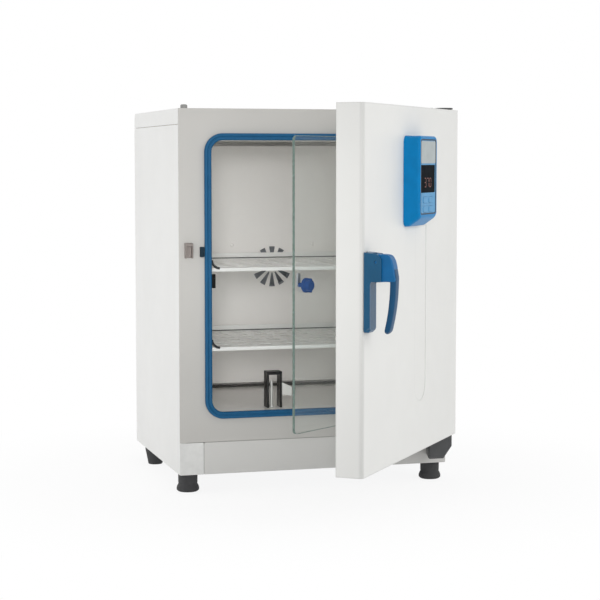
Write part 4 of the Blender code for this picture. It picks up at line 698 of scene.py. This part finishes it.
def add_screws(name, points, axis, slot="zinc_steel", scale=1.0):
    """Domed screw heads with a hexagon socket on the cabinet's sheets, numbered from one."""
    settings = bpy.context.scene.incubator_fastening
    radius, rise = settings.radius * scale, settings.rise * scale
    profile = [(-SCREW_SUNK, radius)] + [(high * rise, wide * radius) for high, wide in SCREW_DOME]
    for index, point in enumerate(points, 1):
        shape = turned(point, axis, profile, settings.sides, flats=6)
        add_piece(f"{name}_{index}", shape, CABINET_PLACE, slot, "cabinet", slot, angle_deg=40.0)


# Groups of pieces

def dress_casing(context):
    """Lid, sides, rear, front frame and fascia with rounded sheet edges, and the rear's screws."""
    edge = context.scene.incubator_coat.edge
    soften_all(("top_cover", "side_panel_left", "side_panel_right", "rear_panel", "front_frame",
                "fascia_corner"), edge)
    soften("fascia_panel", edge, finish="fascia_coat")
    soften("base_plate", THIN_EDGE)
    low, middle, high, aside, third = 0.050, 0.370, 0.676, 0.252, 0.084
    points = [(x, DEPTH, z) for z in (low, middle, high) for x in (-aside, aside)]
    points += [(x, DEPTH, high) for x in (-third, third)]
    beside_slots = (-0.030, 0.160)
    points += [(x, DEPTH, low) for x in beside_slots]
    add_screws("rear_screw", points, (0, 1, 0))
    flange, inlet_middle, inlet_sides = DEPTH + 0.0023, 0.066, (-0.200, -0.160)
    points = [(x, flange, inlet_middle) for x in inlet_sides]
    add_screws("inlet_screw", points, (0, 1, 0), scale=SMALL_SCREW)


def dress_chamber():
    """Shelves, runners, supports, sensor guard and rear cover with softened edges, and screws."""
    add_shelf("shelf_lower")
    add_shelf("shelf_upper")
    soften_all(("runner_lower_left", "runner_lower_right", "runner_upper_left", "runner_upper_right"),
               FINE_EDGE)
    soften_all(("shelf_support_left", "shelf_support_right"), THIN_EDGE)
    dress_guard()
    dress_rear_cover()
    depths, heights = (0.060, 0.286), (0.1855, 0.6285)
    for side, name in ((-1, "left"), (1, "right")):
        points = [(side * SUPPORT_FACE, y, z) for y in depths for z in heights]
        add_screws("support_screw_" + name, points, (-side, 0, 0), "polished_steel", SMALL_SCREW)


def dress_guard():
    """Sensor guard of bars darkened by painted shade, broader than the solid's sheet, its tab with a lit face and
    shaded edges painted on, and the sensor in the lit steel.
    """
    low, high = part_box("probe_guard")
    left, right, top = low.x + 0.0065, low.x + 0.0360, high.z - 0.0036
    leg, head = 0.0037, 0.0061
    bars = [(left, low.z), (left + leg, low.z), (left + leg, top - head), (right - leg, top - head),
            (right - leg, low.z), (right, low.z), (right, top), (left, top)]
    stand_in("probe_guard", slab(bars, low.y, high.y), AT_REST, "guard_shaded", bevel=THIN_EDGE)
    middle, half, drop = (low.z + high.z) / 2, 0.0120, 0.0030
    root, tip = right - 0.0004, right + 0.0195
    near, far = low.y + 0.0002, low.y + 0.0013
    outline = [(root, middle - half), (tip, middle - half - drop), (tip, middle + half / 2 - drop),
               (root, middle + half)]
    tab = add_piece("probe_guard_tab", slab(outline, near, far), AT_REST, "guard_shaded", "cabinet",
                    "polished_steel", bevel=THIN_EDGE)
    # The tab's front and back faces take the lit steel and its edges the painted shade.
    give_finish(tab, "guard_lit", "guard_shaded")
    for face in tab.data.polygons:
        face.material_index = 0 if abs(face.normal.y) > 0.7 else 1
    soften("temperature_probe", bevel=0.0002, finish="guard_lit")


def dress_rear_cover():
    """Rear cover before the fan, with its screws and a dark strip of painted shadow under it."""
    soften("rear_baffle", bevel=0.0006)
    low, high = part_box("rear_baffle")
    behind, under = 0.0030, 0.0060
    add_crease("rear_baffle_seal", "cabinet", low.x, high.x, low.y + behind, low.z - under,
               radius=0.0026)
    fan_sides, fan_top, side, rows = (-0.078, 0.094), 0.4485, 0.165, (0.190, 0.625)
    points = [(x, BAFFLE_FACE, fan_top) for x in fan_sides]
    points += [(x, BAFFLE_FACE, z) for x in (-side, side) for z in rows]
    add_screws("baffle_screw", points, (0, -1, 0), "polished_steel")


def add_shelf(node):
    """A shelf with a narrower front lip, a dark strip of painted shadow in the crease before its rear edge, and
    two hooks.
    """
    low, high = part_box(node)
    shape = solid_shape(node)
    lip, raised, inset = 0.0010, 0.0024, 0.0020
    for vert in shape.verts:
        if vert.co.z < low.z + lip:
            vert.co.z += raised
    stand_in(node, shape, AT_REST, "shelf_steel", bevel=THIN_EDGE)
    before_rear, level = high.y - 0.0028, low.z + 0.0094
    add_crease(node + "_crease", CARRIER[node], low.x + inset, high.x - inset, before_rear, level,
               radius=0.0015)
    for side in (-1, 1):
        add_hook(node, side)


def add_crease(name, body, x0, x1, y, z, radius):
    """A dark round strip from left to right, a painted shadow in a crease."""
    points = [Vector((x0, y, z)), Vector((x1, y, z))]
    add_piece(name, wire(points, radius), AT_REST, "crease_shadow", body, "polished_steel", angle_deg=50.0)


def add_hook(node, side):
    """A dark wire hook at one front corner of a shelf, which keeps it from tipping."""
    low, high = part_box(node)
    top, front = low.z + 0.0080, low.y - 0.0006
    edge = (low.x if side < 0 else high.x) - side * 0.0018
    drop = [(0.0010, 0.0160), (0.0014, 0.0120), (0.0032, 0.0078), (0.0066, 0.0042), (0.0110, 0.0015),
            (0.0160, 0.0006)]
    points = [Vector((edge - side * inward, front, top + rise)) for inward, rise in drop]
    name = node + ("_hook_left" if side < 0 else "_hook_right")
    add_piece(name, wire(points, radius=0.0023), AT_REST, "motor_dark", CARRIER[node], "polished_steel",
              angle_deg=50.0)


def dress_gasket():
    """Gasket with evenly rounded corners and lips, and door seal, contact, striker and keeper."""
    low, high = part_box("chamber_gasket")
    width, rounding, lip = 0.013, 0.035, low.y + 0.0020
    # Shares of the width and depths, across the gasket's two soft lips
    section = [(0.0, high.y), (0.0, lip), (0.15, low.y), (0.35, low.y), (0.5, lip), (0.65, low.y),
               (0.85, low.y), (1.0, lip), (1.0, high.y)]
    box = (low.x, high.x, low.z, high.z)
    loops = [inset_loop(box, share * width, y, rounding - share * width, steps=12)
             for share, y in section]
    stand_in("chamber_gasket", loft(loops, closed=True), AT_REST, "gasket_blue", bevel=0.0008,
             segments=3, angle_deg=20.0)
    soften("door_seal", bevel=0.0007, segments=3)
    soften("door_contact", THIN_EDGE, finish="contact_dark")
    soften("latch_striker", THIN_EDGE, finish="striker_steel")
    soften("glass_keeper", bevel=0.0005, finish="keeper_black")


def dress_door():
    """Outer door's skin and its pressed inner panel."""
    soften("door_outer_panel", bevel=0.0012, segments=3)
    soften("door_inner_panel", bevel=0.0008, segments=3)


def make_handle():
    """Blue handle: a base with two cheeks, and a lever whose grip hangs from its head."""
    # The base takes a darker copy of the handle's blue: painted shade.
    stand_in("handle_base", base_shape(), DOOR_PLACE, "base_shaded_blue", bevel=0.0016, segments=4)
    soften("handle_pin", THIN_EDGE, finish="handle_blue")
    # Distance from the door and height, round the side of the head
    outline = fair([(0.0168, 0.4255), (0.0128, 0.4400), (0.0123, 0.4575), (0.0158, 0.4702),
                    (0.0240, 0.4705), (0.0345, 0.4702), (0.0428, 0.4674), (0.0484, 0.4570),
                    (0.0516, 0.4400), (0.0531, 0.4285), (0.0505, 0.4253), (0.0450, 0.4252),
                    (0.0360, 0.4253)], steps=4)
    half = 0.0112
    sides = [[Vector((HANDLE_X + side, DOOR_FACE - out, z)) for out, z in outline]
             for side in (-half, half)]
    stand_in("handle_lever", loft(sides), DOOR_PLACE, "handle_blue", bevel=0.0022, segments=4,
             angle_deg=50.0)
    # The grip takes a darker copy of the handle's blue: painted shade.
    add_piece("handle_grip", loft(grip_sections()), DOOR_PLACE, "grip_shaded_blue", "door_handle",
              "handle_blue", angle_deg=60.0)


def base_shape():
    """The base's solid with a rounded foot, and a top that falls towards the front."""
    shape = solid_shape("handle_base")
    shape.transform(DOOR_PLACE.inverted())
    low = min(vert.co.z for vert in shape.verts)
    high = max(vert.co.z for vert in shape.verts)
    foot, same = 0.0045, 0.0001
    corners = []
    for edge in shape.edges:
        start, end = (vert.co for vert in edge.verts)
        if max(start.z, end.z) < low + foot and abs(start.x - end.x) < same < abs(start.y - end.y):
            corners.append(edge)
    bmesh.ops.bevel(shape, geom=corners, offset=0.0052, segments=5, profile=0.5, affect="EDGES")
    top, lowered, fall, reach = 0.0100, 0.0036, 0.0022, 0.022
    bottom, raised = 0.0110, 0.0044
    for vert in shape.verts:
        if vert.co.z > high - top:
            vert.co.z -= lowered + fall * min(1.0, (DOOR_FACE - vert.co.y) / reach)
        elif vert.co.z < low + bottom:
            vert.co.z += raised
    return shape


def grip_sections():
    """Rounded cross-sections of the grip, from inside the head down to its rounded tip."""
    top, tip, stations, sides = 0.446, 0.3388, 26, 28
    neck, end_part, blunt, squareness = 0.12, 0.07, 0.04, 0.5
    out_at_neck, swing_in, bend, tuck = 0.0484, 0.0116, 2.2, 0.0024
    loops = []
    for station in range(stations + 1):
        share = 1 - (1 - station / stations) ** 1.5
        hang = max(0.0, share - neck) / (1 - neck)
        out = out_at_neck - swing_in * hang ** bend - tuck * max(0.0, neck - share) / neck
        end = math.sqrt(max(blunt, 1 - max(0.0, (share - 1 + end_part) / end_part) ** 2))
        thick = (0.0055 - 0.0004 * hang) * end
        wide = (0.0108 - 0.0006 * hang) * end
        loop = []
        for side in range(sides):
            angle = 2 * math.pi * side / sides
            cosine, sine = math.cos(angle), math.sin(angle)
            x = math.copysign(abs(cosine) ** squareness, cosine) * wide
            y = math.copysign(abs(sine) ** squareness, sine) * thick
            loop.append(Vector((HANDLE_X + x, DOOR_FACE - out + y, top + (tip - top) * share)))
        loops.append(loop)
    return loops


def make_control():
    """Control housing with a ring of painted shade round its face, plate, display, digits and keys."""
    make_housing()
    x0, x1, z0, z1 = HOUSING
    back = HOUSING_FACE + FACE_BACK
    soften_all(("control_face", "display_window"), FINE_EDGE)
    margin, plate_low, corner = 0.0095, 0.6185, 0.004
    plate = rounded(x0 + margin, x1 - margin, plate_low, z1 - margin, corner)
    add_piece("control_plate", slab(plate, back + 0.0002, back - 0.0005), DOOR_PLACE, "plate_grey",
              "outer_door", "keypad_blue", bevel=FINE_EDGE)
    # A thin dark ring round the face is painted shade on the housing's rounded rim.
    # Inward from the housing's outline, and out of its face
    section = ((0.0064, -0.0001), (0.0068, -0.0009), (0.0080, -0.0009), (0.0084, 0.0001))
    above_foot = (x0, x1, z0 + HOUSING_RISE, z1)
    loops = [inset_loop(above_foot, inward, back + y, radius=0.0050, steps=8) for inward, y in section]
    add_piece("control_trim", loft(loops, closed=True), DOOR_PLACE, "motor_dark", "outer_door",
              "control_blue", angle_deg=50.0)
    make_digits(back)
    soften_all(("key_menu", "key_up", "key_down", "key_set"), THIN_EDGE, segments=3)


def make_housing():
    """Housing with a rounded front edge and a foot that slopes forward."""
    x0, x1, z0, z1 = HOUSING
    back, front, wall = DOOR_FACE - 0.0003, HOUSING_FACE, 0.0065
    # Depth, inward from the outline, and rise of the foot
    stations = [(back, 0.0, 0.0), (front + 0.0240, 0.0003, 0.0), (front + 0.0210, 0.0005, 0.0003),
                (front + 0.0180, 0.0006, 0.0020), (front + 0.0120, 0.0006, 0.0063),
                (front + 0.0060, 0.0004, 0.0107), (front + 0.0032, 0.0006, 0.0127),
                (front + 0.0012, 0.0014, 0.0141), (front + 0.0002, 0.0026, 0.0149),
                (front, 0.0036, HOUSING_RISE), (front, wall - 0.0004, HOUSING_RISE),
                (front + 0.0005, wall, HOUSING_RISE), (back, wall, HOUSING_RISE)]
    outer_radius, least_radius = 0.012, 0.0057
    loops = [inset_loop((x0, x1, z0 + rise, z1), inward, y, max(least_radius, outer_radius - inward), 8)
             for y, inward, rise in stations]
    stand_in("control_housing", loft(loops, closed=True), DOOR_PLACE, "control_blue", angle_deg=40.0)


def make_digits(back):
    """Three lit digits of up to seven bars each, and a point, on the display."""
    lit = {"3": "abcdg", "7": "abc", "0": "abcdef"}
    height, width, bar, gap = 0.015, 0.0085, 0.0017, 0.0055
    bars = {"a": (0, height, 1), "b": (width, height / 2, 0), "c": (width, 0, 0), "d": (0, 0, 1),
            "e": (0, 0, 0), "f": (0, height / 2, 0), "g": (0, height / 2, 1)}
    shape = bmesh.new()
    left, low, front = -0.031, DISPLAY_LOW + 0.010, back + 0.00015
    for place, digit in enumerate("370"):
        start = left + place * (width + gap)
        for name in lit[digit]:
            x, z, flat = bars[name]
            add_bar(shape, start + x, low + z, height / 2, width, bar, flat, front)
    dot, half = left + 2 * (width + gap) - 0.0028, bar / 2
    point = rounded(dot - half, dot + half, low - half, low + half, radius=0.0004, steps=2)
    add_outline(shape, point, front)
    add_piece("display_digits", shape, DOOR_PLACE, "display_digits", "outer_door", "display_black")


def add_bar(shape, x, z, tall, wide, bar, flat, front):
    """One bar of a digit, a long hexagon."""
    gap, half = 0.0004, bar / 2
    if flat:
        start, end = x + gap, x + wide - gap
        outline = [(start, z), (start + half, z - half), (end - half, z - half), (end, z),
                   (end - half, z + half), (start + half, z + half)]
    else:
        start, end = z + gap, z + tall - gap
        outline = [(x, start), (x + half, start + half), (x + half, end - half), (x, end),
                   (x - half, end - half), (x - half, start + half)]
    add_outline(shape, outline, front)


def add_outline(shape, outline, front, thick=0.0003):
    """Adds a thin prism of an outline to a mesh."""
    near = [shape.verts.new(point) for point in at_y(outline, front)]
    far = [shape.verts.new(point) for point in at_y(outline, front + thick)]
    for index in range(len(near)):
        shape.faces.new((near[index - 1], near[index], far[index], far[index - 1]))
    shape.faces.new(near)
    shape.faces.new(far)


def make_glass(context):
    """Pane with a ground green edge, its clamps, knob and tongue."""
    pane = soften("glass_pane", context.scene.incubator_glass.edge)
    give_finish(pane, "glass_clear", "glass_rim")
    facing = GLASS_PLACE.to_3x3() @ Vector((0.0, 1.0, 0.0))
    for face in pane.data.polygons:
        face.material_index = 0 if abs(face.normal.dot(facing)) > 0.9 else 1
    pane.modifiers["Rounding"].material = 1
    soften_all(("glass_clamp_lower", "glass_clamp_upper"), bevel=0.0005)
    soften_all(("glass_hinge_lower", "glass_hinge_upper", "latch_tongue"), THIN_EDGE)
    make_knob()


def make_knob():
    """Blue turning knob with a grip bar."""
    x, z = KNOB_PLACE
    front = GLASS_FACE - 0.0003
    # Distance out of the pane, and radius
    profile = [(-0.0148, 0.004), (0.0, 0.004), (0.0, 0.0126), (0.0006, 0.013), (0.0036, 0.013),
               (0.0048, 0.0120), (0.0058, 0.0104), (0.0126, 0.0098), (0.0136, 0.0088), (0.014, 0.0070)]
    stand_in("glass_knob", turned((x, front, z), (0, -1, 0), profile), GLASS_PLACE, "knob_blue",
             angle_deg=50.0)
    wide, tall, sunk, out = 0.0024, 0.0125, 0.0030, 0.0139
    grip = rounded(x - wide, x + wide, z - tall, z + tall, radius=0.0023, steps=5)
    add_piece("glass_knob_grip", slab(grip, front - sunk, front - out), GLASS_PLACE, "knob_blue",
              "glass_latch", "handle_blue", bevel=0.0010, segments=3, angle_deg=50.0)


def stand_round(node, profile, finish, floor=None):
    """A turned piece on the upright axis of a node's box, from its lowest point or a floor."""
    low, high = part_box(node)
    foot = (low.x + high.x) / 2, (low.y + high.y) / 2, low.z if floor is None else floor
    stand_in(node, turned(foot, (0, 0, 1), profile), AT_REST, finish, angle_deg=45.0)


def make_feet():
    """Rubber feet: flared ones in front with a groove, tapered ones at the rear."""
    # Heights over the floor, and radii
    front = [(0.0, 0.0175), (0.0010, 0.0192), (0.0030, 0.0213), (0.0070, 0.0214), (0.0100, 0.0205),
             (0.0135, 0.0187), (0.0150, 0.0180), (0.0160, 0.0178), (0.0170, 0.0183), (0.0335, 0.0184),
             (0.0347, 0.0176)]
    rear = [(0.0, 0.0135), (0.0010, 0.0145), (0.0080, 0.0159), (0.0200, 0.0182), (0.0300, 0.0203),
            (0.0338, 0.0204), (0.0347, 0.0196)]
    for end, profile in (("front", front), ("rear", rear)):
        for side in ("left", "right"):
            stand_round(f"foot_{end}_{side}", profile, "rubber_black", floor=0.0)


def dress_hinges():
    """Hinge brackets and the cap of the unused hinge, with their screws."""
    stand_in("hinge_bracket_lower", bracket_shape(), AT_REST, "bracket_grey", bevel=0.0026, segments=4)
    soften("hinge_bracket_upper", bevel=0.0008, segments=3)
    cap = [(0.0, 0.0062), (0.0003, 0.0065), (0.0048, 0.0065), (0.0062, 0.0056), (0.0069, 0.0040)]
    stand_round("blanking_cap", cap, "cap_grey")
    strap_top, strap_middle, strap_ends = HEIGHT + 0.0033, 0.022, (0.240, 0.254)
    add_screws("strap_screw", [(x, strap_middle, strap_top) for x in strap_ends], (0, 0, 1))


def bracket_shape():
    """The lower bracket's solid, narrower at the wall and cut off more steeply at the right."""
    shape = solid_shape("hinge_bracket_lower")
    low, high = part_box("hinge_bracket_lower")
    wall_part, shift, slant = low.x + 0.0100, 0.0103, 0.293
    right_end, cut_back = high.x - 0.0010, 0.0035
    cut_below, raised = low.z + 0.0200, 0.0110
    bottom, cut_aside = low.z + 0.0070, 0.0045
    for vert in shape.verts:
        place = vert.co
        if place.x < wall_part:
            place.x += shift - slant * (high.y - place.y)
        elif place.x > right_end:
            place.x -= cut_back
            if place.z < cut_below:
                place.z += raised
        elif place.z < bottom:
            place.x -= cut_aside
    return shape


def paint_solids(context):
    """Gives every solid that stays the finish of its slot."""
    make_finishes(context.scene)
    for node, solid in SOLIDS.items():
        give_finish(solid, SLOT_OF[node])
        solid.data.shade_smooth()
        solid.data.set_sharp_from_angle(angle=math.radians(32.0))


# Stage

def build_stage(context):
    """Pale floor that fades to white, plain light all round, four soft lamps and the camera."""
    stage = context.scene.incubator_stage
    make_floor(stage)
    make_world(context.scene, stage)
    for name, power in (("front_lamp", stage.front), ("left_lamp", stage.left),
                        ("right_lamp", stage.right)):
        add_lamp(name, "AREA", LAMP_PLACES[name], CABINET_MIDDLE, power).size = LAMP_SIZE
    spot = add_lamp("chamber_lamp", "SPOT", LAMP_PLACES["chamber_lamp"], CHAMBER_MIDDLE, stage.chamber)
    spot.spot_size = math.radians(15.0)
    spot.spot_blend = 0.7
    spot.shadow_soft_size = 0.30
    make_camera(context.scene, stage)
    context.scene.view_settings.view_transform = "Standard"


def make_floor(stage):
    """Round floor on which only the object's shadow shows."""
    shape = bmesh.new()
    bmesh.ops.create_circle(shape, cap_ends=True, segments=96, radius=stage.floor)
    floor = mesh_object("floor", shape)
    floor.location = FLOOR_CENTRE
    floor.data.materials.append(floor_finish(stage))


def seen_ray(tree):
    """One for rays that show the background: camera, mirror and glass rays."""
    path = add_node(tree, "LightPath", {}).outputs
    direct = either(tree, path["Is Camera Ray"], path["Is Glossy Ray"])
    return either(tree, direct, path["Is Transmission Ray"])


def floor_finish(stage):
    """White floor: shaded near the object, plain white further out."""
    finish = bpy.data.materials.new("floor")
    finish.use_nodes = True
    tree = finish.node_tree
    tree.nodes.clear()
    place = add_node(tree, "TexCoord", {}).outputs["Object"]
    radius = add_node(tree, "VectorMath", {0: place}, operation="LENGTH").outputs["Value"]
    least = 0.88
    plain = remap(tree, radius, stage.fade_from, stage.fade_to, least, 1.0,
                  interpolation_type="SMOOTHSTEP")
    factor = add_node(tree, "Math", {0: plain, 1: seen_ray(tree)}, operation="MULTIPLY").outputs[0]
    shaded = add_node(tree, "BsdfDiffuse", {"Color": (0.95, 0.95, 0.95, 1.0)})
    white = add_node(tree, "Emission", {"Color": WHITE, "Strength": 1.0})
    show_mix(tree, factor, shaded, white, add_node(tree, "OutputMaterial", {}))
    return finish


def make_world(scene, stage):
    """White background, and a dimmer light all round."""
    world = bpy.data.worlds.new("studio")
    scene.world = world
    world.use_nodes = True
    tree = world.node_tree
    tree.nodes.clear()
    light = add_node(tree, "Background", {"Color": WHITE, "Strength": stage.ambient})
    white = add_node(tree, "Background", {"Color": WHITE, "Strength": 1.0})
    show_mix(tree, seen_ray(tree), light, white, add_node(tree, "OutputWorld", {}))


def face_along(item, direction):
    """Turns a lamp or the camera to face a direction."""
    item.rotation_euler = direction.to_track_quat("-Z", "Y").to_euler()


def add_lamp(name, kind, place, target, power):
    """A lamp that faces a point, of which its data is returned."""
    data = bpy.data.lights.new(name, kind)
    data.energy = power
    lamp = link_object(name, data)
    lamp.location = place
    face_along(lamp, Vector(target) - Vector(place))
    return data


def make_camera(scene, stage):
    """Camera at the photograph's viewing angle."""
    data = bpy.data.cameras.new("camera")
    data.lens = stage.lens
    data.sensor_width = SENSOR_WIDTH
    scene.camera = link_object("camera", data)
    scene.camera.location = CAMERA_PLACE
    face_along(scene.camera, CAMERA_AIM)


# Operators

class INCUBATOR_OT_paint_solids(bpy.types.Operator):
    """Make the finishes and give every solid the one of its slot"""

    bl_idname = "incubator.paint_solids"
    bl_label = "Paint solids"

    def execute(self, context):
        paint_solids(context)
        return {"FINISHED"}


class INCUBATOR_OT_dress_casing(bpy.types.Operator):
    """Round the sheet edges of the casing and add its screws"""

    bl_idname = "incubator.dress_casing"
    bl_label = "Casing"

    def execute(self, context):
        dress_casing(context)
        return {"FINISHED"}


class INCUBATOR_OT_dress_chamber(bpy.types.Operator):
    """Soften the chamber's fittings and add their screws"""

    bl_idname = "incubator.dress_chamber"
    bl_label = "Chamber"

    def execute(self, context):
        dress_chamber()
        return {"FINISHED"}


class INCUBATOR_OT_dress_gasket(bpy.types.Operator):
    """Round the lips of the gasket and the seal, and the small catches beside them"""

    bl_idname = "incubator.dress_gasket"
    bl_label = "Gasket and catches"

    def execute(self, context):
        dress_gasket()
        return {"FINISHED"}


class INCUBATOR_OT_dress_door(bpy.types.Operator):
    """Round the edges of the outer door's panels"""

    bl_idname = "incubator.dress_door"
    bl_label = "Outer door"

    def execute(self, context):
        dress_door()
        return {"FINISHED"}


class INCUBATOR_OT_make_handle(bpy.types.Operator):
    """Make the blue handle with its lever"""

    bl_idname = "incubator.make_handle"
    bl_label = "Handle"

    def execute(self, context):
        make_handle()
        return {"FINISHED"}


class INCUBATOR_OT_make_control(bpy.types.Operator):
    """Make the control's housing, plate, digits and keys"""

    bl_idname = "incubator.make_control"
    bl_label = "Control"

    def execute(self, context):
        make_control()
        return {"FINISHED"}


class INCUBATOR_OT_make_glass(bpy.types.Operator):
    """Make the glass door's pane, clamps and knob"""

    bl_idname = "incubator.make_glass"
    bl_label = "Glass door"

    def execute(self, context):
        make_glass(context)
        return {"FINISHED"}


class INCUBATOR_OT_make_feet(bpy.types.Operator):
    """Make the rubber feet"""

    bl_idname = "incubator.make_feet"
    bl_label = "Feet"

    def execute(self, context):
        make_feet()
        return {"FINISHED"}


class INCUBATOR_OT_dress_hinges(bpy.types.Operator):
    """Round the hinge brackets and add the cap and the strap's screws"""

    bl_idname = "incubator.dress_hinges"
    bl_label = "Hinges"

    def execute(self, context):
        dress_hinges()
        return {"FINISHED"}


class INCUBATOR_OT_build_stage(bpy.types.Operator):
    """Build the floor, the light and the camera"""

    bl_idname = "incubator.build_stage"
    bl_label = "Stage"

    def execute(self, context):
        build_stage(context)
        return {"FINISHED"}


OPERATORS = (INCUBATOR_OT_paint_solids, INCUBATOR_OT_dress_casing, INCUBATOR_OT_dress_chamber,
             INCUBATOR_OT_dress_gasket, INCUBATOR_OT_dress_door, INCUBATOR_OT_make_handle,
             INCUBATOR_OT_make_control, INCUBATOR_OT_make_glass, INCUBATOR_OT_make_feet,
             INCUBATOR_OT_dress_hinges, INCUBATOR_OT_build_stage)


class INCUBATOR_PT_looks(bpy.types.Panel):
    """Lists the pieces and their settings"""

    bl_label = "Incubator"
    bl_space_type = "VIEW_3D"
    bl_region_type = "UI"
    bl_category = "Incubator"

    def draw(self, context):
        for operator in OPERATORS:
            self.layout.operator(operator.bl_idname)
        for name, group in SETTINGS.items():
            box = self.layout.box()
            for setting in group.__annotations__:
                box.prop(getattr(context.scene, name), setting)


def register():
    """Registers the settings, the operators and the panel."""
    for name, group in SETTINGS.items():
        bpy.utils.register_class(group)
        setattr(bpy.types.Scene, name, PointerProperty(type=group))
    for item in (*OPERATORS, INCUBATOR_PT_looks):
        bpy.utils.register_class(item)


def unregister():
    """Takes back what register did."""
    for item in reversed((*OPERATORS, INCUBATOR_PT_looks)):
        bpy.utils.unregister_class(item)
    for name, group in SETTINGS.items():
        delattr(bpy.types.Scene, name)
        bpy.utils.unregister_class(group)


def main():
    """Registers the add-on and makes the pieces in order."""
    register()
    for operator in OPERATORS:
        group, name = operator.bl_idname.split(".")
        getattr(getattr(bpy.ops, group), name)()


if __name__ == "__main__":
    main()
